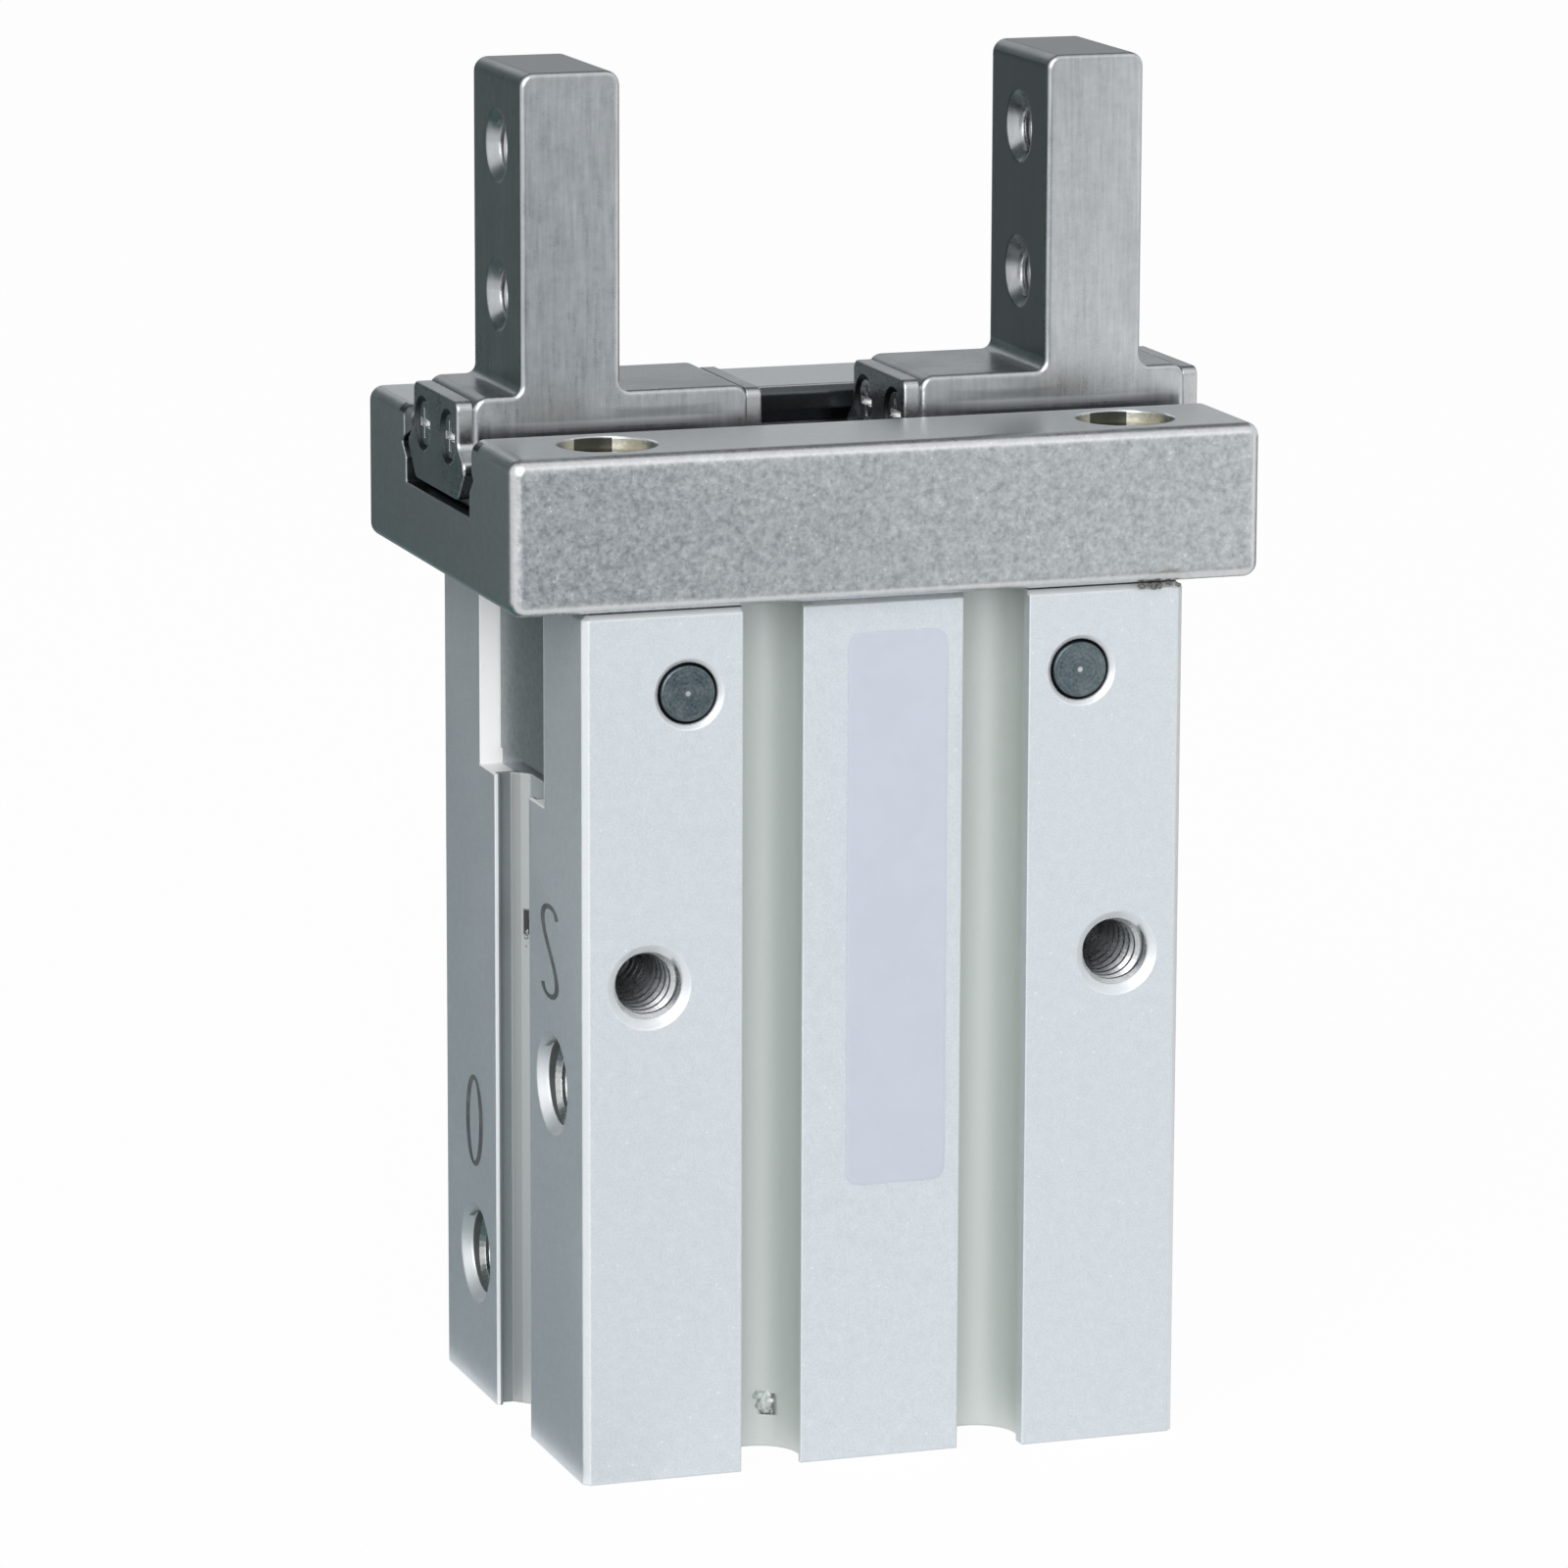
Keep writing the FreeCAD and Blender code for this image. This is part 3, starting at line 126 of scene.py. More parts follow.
def largestPart(tree, vector):
    # the largest of a vector's three parts, whatever their signs
    parts = addNode(tree, "ShaderNodeSeparateXYZ", {0: doVector(tree, "ABSOLUTE", vector)}).outputs
    return doMath(tree, "MAXIMUM", parts[0], doMath(tree, "MAXIMUM", parts[1], parts[2]))


# Shared finishes as shader groups

# a span gives the values that become 0 and 1, a detail is a noise's number of octaves
blastTooth = {
    "toothDetail": 2.0, "toothRough": 0.6, "cloudDetail": 5.0, "cloudRough": 0.62, "cloudHeight": 0.5,
    "speckSize": 0.3, "speckDetail": 1.0, "speckFrom": 0.56, "span": (0.32, 0.68),
}


def makeBlastGrain():
    # fine bead-blasted tooth over slow cloudy mottling, with a few bright specks
    group, given, result = newGroup("blastGrain", {
        "Position": "Vector", "Fine": "Float", "Coarse": "Float", "Mottle": "Float", "Specks": "Float",
    }, {"Tone": "Float", "Speck": "Float", "Height": "Float"})
    position, coarse = given["Position"], given["Coarse"]
    tooth = noise(group, position, given["Fine"], blastTooth["toothDetail"], blastTooth["toothRough"])
    cloud = noise(group, position, coarse, blastTooth["cloudDetail"], blastTooth["cloudRough"])
    pits = addNode(group, "ShaderNodeTexVoronoi", {"Vector": position, "Scale": coarse})
    pitSize = doMath(group, "MULTIPLY", given["Specks"], blastTooth["speckSize"])
    speck = mapRange(group, pits.outputs["Distance"], pitSize, 0.0, smooth=True)
    choice = noise(group, position, coarse, blastTooth["speckDetail"])
    keep = doMath(group, "GREATER_THAN", choice, blastTooth["speckFrom"])
    toothShare = doMath(group, "SUBTRACT", 1.0, given["Mottle"])
    tone = doMath(group, "ADD", doMath(group, "MULTIPLY", tooth, toothShare),
                  doMath(group, "MULTIPLY", cloud, given["Mottle"]))
    height = doMath(group, "ADD", tooth, doMath(group, "MULTIPLY", cloud, blastTooth["cloudHeight"]))
    setInput(group, result["Tone"], mapRange(group, tone, *blastTooth["span"]))
    setInput(group, result["Speck"], doMath(group, "MULTIPLY", speck, keep))
    setInput(group, result["Height"], height)
    return group


brushStrokes = {
    "detail": 3.0, "rough": 0.65, "share": 0.65, "broadScale": 0.22, "broadDetail": 2.0, "broadRough": 0.5,
    "span": (0.33, 0.67),
}


def makeBrushedGrain():
    # long scratches of a ground or brushed face, drawn out by the stretch
    group, given, result = newGroup("brushedGrain", {
        "Position": "Vector", "Stretch": "Vector",
    }, {"Tone": "Float", "Height": "Float"})
    stretched = doVector(group, "MULTIPLY", given["Position"], given["Stretch"])
    strokes = noise(group, stretched, 1.0, brushStrokes["detail"], brushStrokes["rough"])
    broad = noise(group, stretched, brushStrokes["broadScale"], brushStrokes["broadDetail"],
                  brushStrokes["broadRough"])
    tone = blendTones(group, strokes, broad, brushStrokes["share"])
    setInput(group, result["Tone"], mapRange(group, tone, *brushStrokes["span"]))
    setInput(group, result["Height"], strokes)
    return group


# how alike two directions are, 1 where they agree
edgeTurn = {"samples": 6, "edgeSpan": (0.985, 0.86), "roundSpan": (0.99, 0.90)}


def makeEdgeLine():
    # rounds sharp edges in the shading and marks them for a bright tint that is partly edge wear and partly
    # painted highlight
    # Round marks surfaces that turn away from the three main directions, as fillets and chamfers do
    group, given, result = newGroup("edgeLine", {
        "Radius": "Float",
    }, {"Mask": "Float", "Round": "Float", "Normal": "Vector"})
    rounded = addNode(group, "ShaderNodeBevel", {"Radius": given["Radius"]}, samples=edgeTurn["samples"])
    flat = addNode(group, "ShaderNodeNewGeometry").outputs["Normal"]
    likeness = doVector(group, "DOT_PRODUCT", rounded.outputs[0], flat)
    straightness = largestPart(group, flat)
    setInput(group, result["Mask"], mapRange(group, likeness, *edgeTurn["edgeSpan"], smooth=True))
    setInput(group, result["Round"], mapRange(group, straightness, *edgeTurn["roundSpan"], smooth=True))
    setInput(group, result["Normal"], rounded.outputs[0])
    return group


hazePatches = {"detail": 4.0, "rough": 0.6, "distortion": 0.6, "span": (0.38, 0.68)}


def makeHandlingHaze():
    # thin oil film and finger marks that change the gloss in slow patches
    group, given, result = newGroup("handlingHaze", {
        "Position": "Vector", "Scale": "Float",
    }, {"Mask": "Float"})
    patches = noise(group, given["Position"], given["Scale"], hazePatches["detail"], hazePatches["rough"],
                    hazePatches["distortion"])
    setInput(group, result["Mask"], mapRange(group, patches, *hazePatches["span"], smooth=True))
    return group


stainCrumbs = {
    "scale": 900.0, "detail": 5.0, "rough": 0.65, "middle": 0.5, "rimSpan": (1.05, 0.85),
    "coverSpan": (0.36, 0.6),
}


def makeStainPatch():
    # ragged patch of dried oil round a centre, with half sizes along the axes
    group, given, result = newGroup("stainPatch", {
        "Position": "Vector", "Centre": "Vector", "Reach": "Vector", "Ragged": "Float",
    }, {"Mask": "Float"})
    offset = doVector(group, "SUBTRACT", given["Position"], given["Centre"])
    away = doVector(group, "LENGTH", doVector(group, "DIVIDE", offset, given["Reach"]))
    crumbs = noise(group, given["Position"], stainCrumbs["scale"], stainCrumbs["detail"],
                   stainCrumbs["rough"])
    unevenness = doMath(group, "SUBTRACT", crumbs, stainCrumbs["middle"])
    edge = doMath(group, "ADD", away, doMath(group, "MULTIPLY", unevenness, given["Ragged"]))
    body = mapRange(group, edge, *stainCrumbs["rimSpan"], smooth=True)
    cover = mapRange(group, crumbs, *stainCrumbs["coverSpan"])
    setInput(group, result["Mask"], doMath(group, "MULTIPLY", body, cover))
    return group


def makeFaceBox():
    # picks the faces inside a box that is mirrored in X and Y and fades over a soft share of its half sizes
    group, given, result = newGroup("faceBox", {
        "Position": "Vector", "Centre": "Vector", "Reach": "Vector", "Soft": "Float",
    }, {"Mask": "Float"})
    mirrored = doVector(group, "ABSOLUTE", given["Position"])
    offset = doVector(group, "SUBTRACT", mirrored, given["Centre"])
    widest = largestPart(group, doVector(group, "DIVIDE", offset, given["Reach"]))
    inside = doMath(group, "SUBTRACT", 1.0, given["Soft"])
    setInput(group, result["Mask"], mapRange(group, widest, 1.0, inside, smooth=True))
    return group


ringWander = {"scale": 1500.0, "detail": 2.0, "turns": 0.9}


def makeTurnedRings():
    # tool rings of a turned face round an axis through the centre
    group, given, result = newGroup("turnedRings", {
        "Position": "Vector", "Centre": "Vector", "Axis": "Vector", "Pitch": "Float",
    }, {"Tone": "Float", "Radius": "Float", "Height": "Float"})
    offset = doVector(group, "SUBTRACT", given["Position"], given["Centre"])
    along = doVector(group, "PROJECT", offset, given["Axis"])
    radius = doVector(group, "LENGTH", doVector(group, "SUBTRACT", offset, along))
    drift = noise(group, given["Position"], ringWander["scale"], ringWander["detail"])
    wander = doMath(group, "MULTIPLY", drift, ringWander["turns"])
    turns = doMath(group, "ADD", doMath(group, "DIVIDE", radius, given["Pitch"]), wander)
    wave = doMath(group, "SINE", doMath(group, "MULTIPLY", turns, math.tau))
    setInput(group, result["Tone"], mapRange(group, wave, -1.0, 1.0))
    setInput(group, result["Radius"], radius)
    setInput(group, result["Height"], wave)
    return group


blastGrain = makeBlastGrain()
brushedGrain = makeBrushedGrain()
edgeLine = makeEdgeLine()
handlingHaze = makeHandlingHaze()
stainPatch = makeStainPatch()
faceBox = makeFaceBox()
turnedRings = makeTurnedRings()
print("shared finishes made")


# Materials

def newMaterial(name, metallic, roughness):
    material = bpy.data.materials.new(name)
    tree = clearTree(material)
    surface = addNode(tree, "ShaderNodeBsdfPrincipled", {"Metallic": metallic, "Roughness": roughness})
    addNode(tree, "ShaderNodeOutputMaterial", {"Surface": surface.outputs[0]})
    position = addNode(tree, "ShaderNodeTexCoord").outputs["Object"]
    return material, tree, surface.inputs, position


def layGrain(tree, position, finish):
    return placeGroup(tree, blastGrain, {
        "Position": position, "Fine": finish["fine"], "Coarse": finish["coarse"],
        "Mottle": finish["mottle"], "Specks": finish["specks"]})


def layHaze(tree, position, finish):
    return placeGroup(tree, handlingHaze, {"Position": position, "Scale": finish["hazeScale"]})["Mask"]


def hazyGloss(tree, tone, haze, finish):
    # roughness that follows the grain and changes a little with the haze
    return doMath(tree, "ADD", mapRange(tree, tone, 0.0, 1.0, finish["smooth"], finish["rough"]),
                  mapRange(tree, haze, 0.0, 1.0, -finish["hazeShare"], finish["hazeShare"]))


def wearAndHighlightOnEdges(tree, edge, finish, kept):
    # wear and painted highlight on edges and fillets, away from the faces that keep a finish of their own
    wearAndHighlight = doMath(tree, "MAXIMUM", doMath(tree, "MULTIPLY", edge["Mask"], finish["edgeShare"]),
                  doMath(tree, "MULTIPLY", edge["Round"], finish["roundShare"]))
    return doMath(tree, "MULTIPLY", wearAndHighlight, doMath(tree, "SUBTRACT", 1.0, kept))


def roughen(tree, surface, height, finish, normal=None):
    bump = addNode(tree, "ShaderNodeBump", {
        "Strength": finish["bump"], "Distance": finish["bumpDepth"] * mm, "Height": height})
    if normal is not None:
        setInput(tree, bump.inputs["Normal"], normal)
    setInput(tree, surface["Normal"], bump.outputs[0])


sharpFace = 0.001  # soft share of a face box that ends in a line


def treatFaces(tree, position, edge, faces, tint, gloss, metal):
    # gives the faces inside boxes a tint, gloss and metal of their own, mostly painted light and painted
    # shade, and tells how much they cover
    kept = 0.0
    for face in faces:
        mask = placeGroup(tree, faceBox, {
            "Position": position, "Centre": Vector(face["centre"]) * mm, "Reach": Vector(face["reach"]) * mm,
            "Soft": face.get("soft", sharpFace)})["Mask"]
        if face.get("turnedOnly"):
            mask = doMath(tree, "MULTIPLY", mask, edge["Round"])
        tint = layTint(tree, tint, mask, face["share"], face["tint"])
        gloss = mapRange(tree, mask, 0.0, 1.0, gloss, face["gloss"])
        metal = mapRange(tree, mask, 0.0, 1.0, metal, face["metal"])
        kept = doMath(tree, "MAXIMUM", kept, mask)
    return tint, gloss, metal, kept


wornPolish = 0.12  # how much smoother a fully worn blasted edge is


def makeBlasted(name, finish):
    # bead-blasted metal: grain, specks, bright edges that are partly painted highlight and a slow change of
    # gloss
    material, tree, surface, position = newMaterial(name, finish["metallic"], finish["smooth"])
    grain = layGrain(tree, position, finish)
    edge = placeGroup(tree, edgeLine, {"Radius": finish["edgeRadius"] * mm})
    haze = layHaze(tree, position, finish)
    tint = mixColour(tree, grain["Tone"], colour(finish["dark"]), colour(finish["light"]))
    tint = layTint(tree, tint, grain["Speck"], finish["speckShare"], finish["speck"])
    for stain in finish.get("stains", []):
        patch = placeGroup(tree, stainPatch, {
            "Position": position, "Centre": Vector(stain["centre"]) * mm,
            "Reach": Vector(stain["reach"]) * mm, "Ragged": stain["ragged"]})
        tint = layTint(tree, tint, patch["Mask"], stain["share"], stain["tint"])
    gloss = hazyGloss(tree, grain["Tone"], haze, finish)
    tint, gloss, metal, kept = treatFaces(
        tree, position, edge, finish.get("faces", []), tint, gloss, finish["metallic"])
    wearAndHighlight = wearAndHighlightOnEdges(tree, edge, finish, kept)
    polish = doMath(tree, "MULTIPLY", wearAndHighlight, wornPolish)
    setInput(tree, surface["Base Color"], mixColour(tree, wearAndHighlight, tint, colour(finish["edge"])))
    setInput(tree, surface["Roughness"], doMath(tree, "SUBTRACT", gloss, polish))
    setInput(tree, surface["Metallic"], metal)
    roughen(tree, surface, grain["Height"], finish, edge["Normal"])
    return material


anodisedFinish = {
    "metallic": 0.75, "dark": (0.575, 0.618, 0.652), "light": (0.700, 0.738, 0.770),
    "speck": (0.90, 0.91, 0.92), "edge": (0.90, 0.91, 0.92), "edgeShare": 0.7, "edgeRadius": 0.14,
    "speckShare": 0.55, "specks": 0.55, "fine": 11000.0, "coarse": 1700.0, "mottle": 0.3,
    "smooth": 0.50, "rough": 0.60, "hazeScale": 90.0, "hazeShare": 0.02, "bump": 0.35,
    "bumpDepth": 0.006, "roundShare": 0.45,
    "stains": [
        {"centre": (5.7, -9.4, 35.6), "reach": (2.6, 3.2, 9.6),
         "ragged": 0.7, "share": 0.22, "tint": (0.44, 0.43, 0.39)},
        {"centre": (-14.2, -1.2, 31.0), "reach": (2.4, 2.6, 3.0),
         "ragged": 0.8, "share": 0.35, "tint": (0.40, 0.40, 0.37)},
    ],
    "faces": [
        # sensor grooves, tinted a greyer tone as painted shade
        {"centre": (5.685, 9.5, 21.5), "reach": (2.1, 1.72, 21.6),
         "tint": (0.648, 0.680, 0.655), "share": 0.85, "gloss": 0.55, "metal": 0.75},
        # chamfer under the guide painted bright as painted light, and a dark line of painted shade along the
        # seam above it
        {"centre": (0.0, 11.6, 42.72), "reach": (15.4, 0.19, 0.14),
         "tint": (0.84, 0.86, 0.87), "share": 0.9, "gloss": 0.5, "metal": 0.3},
        {"centre": (0.0, 11.5, 42.94), "reach": (15.4, 0.35, 0.08),
         "tint": (0.025, 0.026, 0.025), "share": 0.9, "gloss": 0.5, "metal": 0.2},
        # painted shade in the depths of the mount holes and ports
        {"centre": (12.0, 5.0, 24.6), "reach": (1.5, 4.6, 1.75),
         "tint": (0.24, 0.255, 0.255), "share": 0.9, "gloss": 0.5, "metal": 0.75},
        {"centre": (12.64, 6.6, 18.9), "reach": (2.16, 2.2, 2.2),
         "tint": (0.12, 0.13, 0.13), "share": 0.9, "gloss": 0.4, "metal": 0.75},
        {"centre": (12.64, 6.6, 7.0), "reach": (2.16, 2.2, 2.2),
         "tint": (0.12, 0.13, 0.13), "share": 0.9, "gloss": 0.4, "metal": 0.75},
        # walls and floor of the lever slot, bare milled and painted brighter as painted light, lips of the
        # side grooves painted bright as painted light, and painted shade on the walls behind the lips
        {"centre": (14.75, 5.4, 37.7), "reach": (0.62, 0.06, 5.4),
         "tint": (0.99, 0.99, 0.99), "share": 1.0, "gloss": 0.45, "metal": 0.0},
        {"centre": (14.75, 4.2, 32.35), "reach": (0.62, 1.3, 0.05),
         "tint": (0.97, 0.97, 0.97), "share": 0.95, "gloss": 0.45, "metal": 0.1},
        {"centre": (15.22, 2.9, 16.2), "reach": (0.09, 0.05, 16.3),
         "tint": (0.97, 0.97, 0.97), "share": 0.8, "gloss": 0.45, "metal": 0.3},
        {"centre": (14.54, 3.0, 16.1), "reach": (0.58, 0.46, 16.4),
         "tint": (0.19, 0.21, 0.215), "share": 0.82, "gloss": 0.60, "metal": 0.75},
        # painted shade on the slanted corners of the side grooves
        {"centre": (13.95, 2.9, 16.1), "reach": (0.46, 0.46, 16.4),
         "tint": (0.47, 0.49, 0.48), "share": 0.75, "gloss": 0.55, "metal": 0.75, "turnedOnly": True},
        # painted shade of a dark opening where the mount holes break into the side grooves
        {"centre": (13.74, 2.7, 24.82), "reach": (0.14, 0.32, 0.74),
         "tint": (0.02, 0.02, 0.02), "share": 0.97, "gloss": 0.5, "metal": 0.0, "soft": 0.25},
    ],
}
guideFinish = {
    "metallic": 1.0, "dark": (0.265, 0.285, 0.294), "light": (0.540, 0.563, 0.577),
    "speck": (0.80, 0.82, 0.83), "edge": (0.84, 0.85, 0.86), "edgeShare": 0.45, "roundShare": 0.5,
    "edgeRadius": 0.2, "speckShare": 0.7, "specks": 0.6, "fine": 5400.0, "coarse": 2300.0,
    "mottle": 0.55, "smooth": 0.33, "rough": 0.45, "hazeScale": 110.0, "hazeShare": 0.04, "bump": 0.45,
    "bumpDepth": 0.012,
    "stains": [
        {"centre": (14.2, -12.0, 43.1), "reach": (1.6, 1.0, 0.7),
         "ragged": 1.0, "share": 0.8, "tint": (0.20, 0.18, 0.14)},
    ],
    "faces": [
        # top and ends painted lighter as painted light
        {"centre": (19.0, 0.0, 46.8), "reach": (0.03, 12.2, 3.5),
         "tint": (0.60, 0.62, 0.63), "share": 0.65, "gloss": 0.40, "metal": 1.0},
        {"centre": (0.0, 0.0, 50.6), "reach": (18.7, 12.2, 0.03),
         "tint": (0.74, 0.76, 0.76), "share": 0.75, "gloss": 0.34, "metal": 1.0},
        # ground races and floor of the channel painted dark as painted shade, and the tongues in the lever
        # slot tinted darker and rougher
        {"centre": (0.0, 5.95, 48.55), "reach": (18.96, 0.8, 1.98),
         "tint": (0.07, 0.08, 0.085), "share": 0.93, "gloss": 0.28, "metal": 1.0},
        {"centre": (0.0, 0.0, 46.75), "reach": (18.9, 5.6, 0.05),
         "tint": (0.05, 0.055, 0.06), "share": 0.93, "gloss": 0.3, "metal": 1.0},
        {"centre": (14.2, 0.0, 38.0), "reach": (0.2, 5.4, 5.2),
         "tint": (0.29, 0.325, 0.33), "share": 0.5, "gloss": 0.58, "metal": 1.0},
    ],
}
leverFinish = {
    "metallic": 1.0, "dark": (0.20, 0.205, 0.21), "light": (0.34, 0.345, 0.35),
    "speck": (0.5, 0.5, 0.5), "edge": (0.6, 0.6, 0.6), "edgeShare": 0.5, "roundShare": 0.0,
    "edgeRadius": 0.1, "speckShare": 0.3, "specks": 0.4, "fine": 7000.0, "coarse": 1600.0,
    "mottle": 0.5, "smooth": 0.34, "rough": 0.46, "hazeScale": 200.0, "hazeShare": 0.04, "bump": 0.3,
    "bumpDepth": 0.008,
}
magnetFinish = {
    "metallic": 0.4, "dark": (0.055, 0.056, 0.060), "light": (0.105, 0.106, 0.110),
    "speck": (0.2, 0.2, 0.2), "edge": (0.25, 0.25, 0.25), "edgeShare": 0.4, "roundShare": 0.0,
    "edgeRadius": 0.08, "speckShare": 0.3, "specks": 0.4, "fine": 9000.0, "coarse": 2000.0,
    "mottle": 0.5, "smooth": 0.45, "rough": 0.6, "hazeScale": 200.0, "hazeShare": 0.03, "bump": 0.3,
    "bumpDepth": 0.006,
}
anodisedAluminium = makeBlasted("anodisedAluminium", anodisedFinish)
guideSteel = makeBlasted("guideSteel", guideFinish)
leverSteel = makeBlasted("leverSteel", leverFinish)
magnetDark = makeBlasted("magnetDark", magnetFinish)


brushedTooth = {"mottle": 0.6, "specks": 0.4}


def makeBrushed(name, finish):
    # ground or brushed steel: drawn-out strokes, haze and polished edges that are partly painted highlight
    material, tree, surface, position = newMaterial(name, 1.0, finish["smooth"])
    strokes = placeGroup(tree, brushedGrain, {"Position": position, "Stretch": finish["stretch"]})
    tooth = layGrain(tree, position, {**finish, **brushedTooth})
    edge = placeGroup(tree, edgeLine, {"Radius": finish["edgeRadius"] * mm})
    haze = layHaze(tree, position, finish)
    tone = blendTones(tree, strokes["Tone"], tooth["Tone"], finish["strokeShare"])
    tint = mixColour(tree, tone, colour(finish["dark"]), colour(finish["light"]))
    tint = layTint(tree, tint, haze, finish["hazeTint"], finish["film"])
    gloss = hazyGloss(tree, tone, haze, finish)
    tint, gloss, metal, kept = treatFaces(tree, position, edge, finish.get("faces", []), tint, gloss, 1.0)
    wearAndHighlight = wearAndHighlightOnEdges(tree, edge, finish, kept)
    setInput(tree, surface["Base Color"], mixColour(tree, wearAndHighlight, tint, colour(finish["edge"])))
    setInput(tree, surface["Roughness"], gloss)
    setInput(tree, surface["Metallic"], metal)
    roughen(tree, surface, strokes["Height"], finish, edge["Normal"])
    return material


fingerFinish = {
    "dark": (0.281, 0.297, 0.310), "light": (0.480, 0.500, 0.517), "edge": (0.76, 0.77, 0.78),
    "film": (0.32, 0.33, 0.335), "edgeShare": 0.32, "roundShare": 0.2, "edgeRadius": 0.16,
    "stretch": (5200.0, 5200.0, 400.0), "strokeShare": 0.6, "fine": 3600.0, "coarse": 1300.0,
    "smooth": 0.27, "rough": 0.36, "hazeScale": 150.0, "hazeTint": 0.25, "hazeShare": 0.04,
    "bump": 0.05, "bumpDepth": 0.006,
    "faces": [
        # painted shade on the ends of the uprights and their inner sides
        {"centre": (13.43, 0.0, 67.8), "reach": (2.2, 3.7, 0.03),
         "tint": (0.235, 0.248, 0.258), "share": 0.8, "gloss": 0.34, "metal": 1.0},
        {"centre": (10.93, 0.0, 60.2), "reach": (0.03, 3.7, 7.3),
         "tint": (0.20, 0.212, 0.22), "share": 0.8, "gloss": 0.30, "metal": 1.0},
        # low on the base, where it runs along the guide: a dark line of painted shade, a lighter band of
        # painted reflection and a darker smear above it, partly painted reflection
        {"centre": (11.4, 4.0, 50.30), "reach": (6.85, 0.05, 0.24),
         "tint": (0.06, 0.065, 0.07), "share": 0.85, "gloss": 0.40, "metal": 1.0, "soft": 0.5},
        {"centre": (11.4, 4.0, 50.78), "reach": (6.8, 0.05, 0.26),
         "tint": (0.66, 0.68, 0.69), "share": 0.6, "gloss": 0.30, "metal": 1.0, "soft": 0.6},
        {"centre": (9.0, 4.0, 51.25), "reach": (4.2, 0.05, 0.36),
         "tint": (0.16, 0.17, 0.175), "share": 0.6, "gloss": 0.30, "metal": 1.0, "soft": 0.9},
    ],
}
plateFinish = {
    "dark": (0.34, 0.355, 0.365), "light": (0.52, 0.535, 0.545), "edge": (0.78, 0.79, 0.80),
    "film": (0.36, 0.365, 0.36), "edgeShare": 0.5, "roundShare": 0.15, "edgeRadius": 0.12,
    "stretch": (9000.0, 500.0, 9000.0), "strokeShare": 0.4, "fine": 6500.0, "coarse": 1500.0,
    "smooth": 0.26, "rough": 0.36, "hazeScale": 260.0, "hazeTint": 0.2, "hazeShare": 0.04, "bump": 0.35,
    "bumpDepth": 0.006,
    "faces": [  # countersinks round the screw heads
        # painted shade in the countersinks round the screw heads
        {"centre": (11.4, 2.15, 50.2), "reach": (8.0, 1.45, 1.45),
         "tint": (0.05, 0.055, 0.06), "share": 0.95, "gloss": 0.35, "metal": 1.0, "turnedOnly": True},
    ],
}
screwFinish = {
    "dark": (0.60, 0.61, 0.615), "light": (0.74, 0.75, 0.755), "edge": (0.92, 0.92, 0.93),
    "film": (0.56, 0.56, 0.54), "edgeShare": 0.6, "roundShare": 0.0, "edgeRadius": 0.06,
    "stretch": (9000.0, 9000.0, 3000.0), "strokeShare": 0.4, "fine": 9000.0, "coarse": 2500.0,
    "smooth": 0.20, "rough": 0.30, "hazeScale": 400.0, "hazeTint": 0.2, "hazeShare": 0.03, "bump": 0.25,
    "bumpDepth": 0.004,
}
clipFinish = {
    "dark": (0.16, 0.163, 0.168), "light": (0.25, 0.255, 0.26), "edge": (0.50, 0.50, 0.51),
    "film": (0.16, 0.16, 0.15), "edgeShare": 0.5, "roundShare": 0.0, "edgeRadius": 0.08,
    "stretch": (5000.0, 5000.0, 5000.0), "strokeShare": 0.5, "fine": 8000.0, "coarse": 2000.0,
    "smooth": 0.30, "rough": 0.42, "hazeScale": 300.0, "hazeTint": 0.2, "hazeShare": 0.03, "bump": 0.3,
    "bumpDepth": 0.006,
}
threadFinish = {
    "dark": (0.46, 0.475, 0.48), "light": (0.74, 0.755, 0.76), "edge": (0.92, 0.93, 0.93),
    "film": (0.40, 0.41, 0.41), "edgeShare": 0.5, "roundShare": 0.0, "edgeRadius": 0.05,
    "stretch": (6000.0, 6000.0, 6000.0), "strokeShare": 0.5, "fine": 8000.0, "coarse": 2200.0,
    "smooth": 0.24, "rough": 0.36, "hazeScale": 300.0, "hazeTint": 0.3, "hazeShare": 0.03, "bump": 0.3,
    "bumpDepth": 0.005,
}
threadMetal = makeBrushed("threadMetal", threadFinish)
fingerSteel = makeBrushed("fingerSteel", fingerFinish)
plateSteel = makeBrushed("plateSteel", plateFinish)
screwSteel = makeBrushed("screwSteel", screwFinish)
springSteel = makeBrushed("springSteel", clipFinish)


turnedTooth = {"fine": 8000.0, "mottle": 0.6, "specks": 0.4}
hubFade = (1.2, 0.6)  # shares of the hub's radius between which its tint comes in
shadedRimFade = (0.97, 1.0)  # the same for the dark rim of painted shade


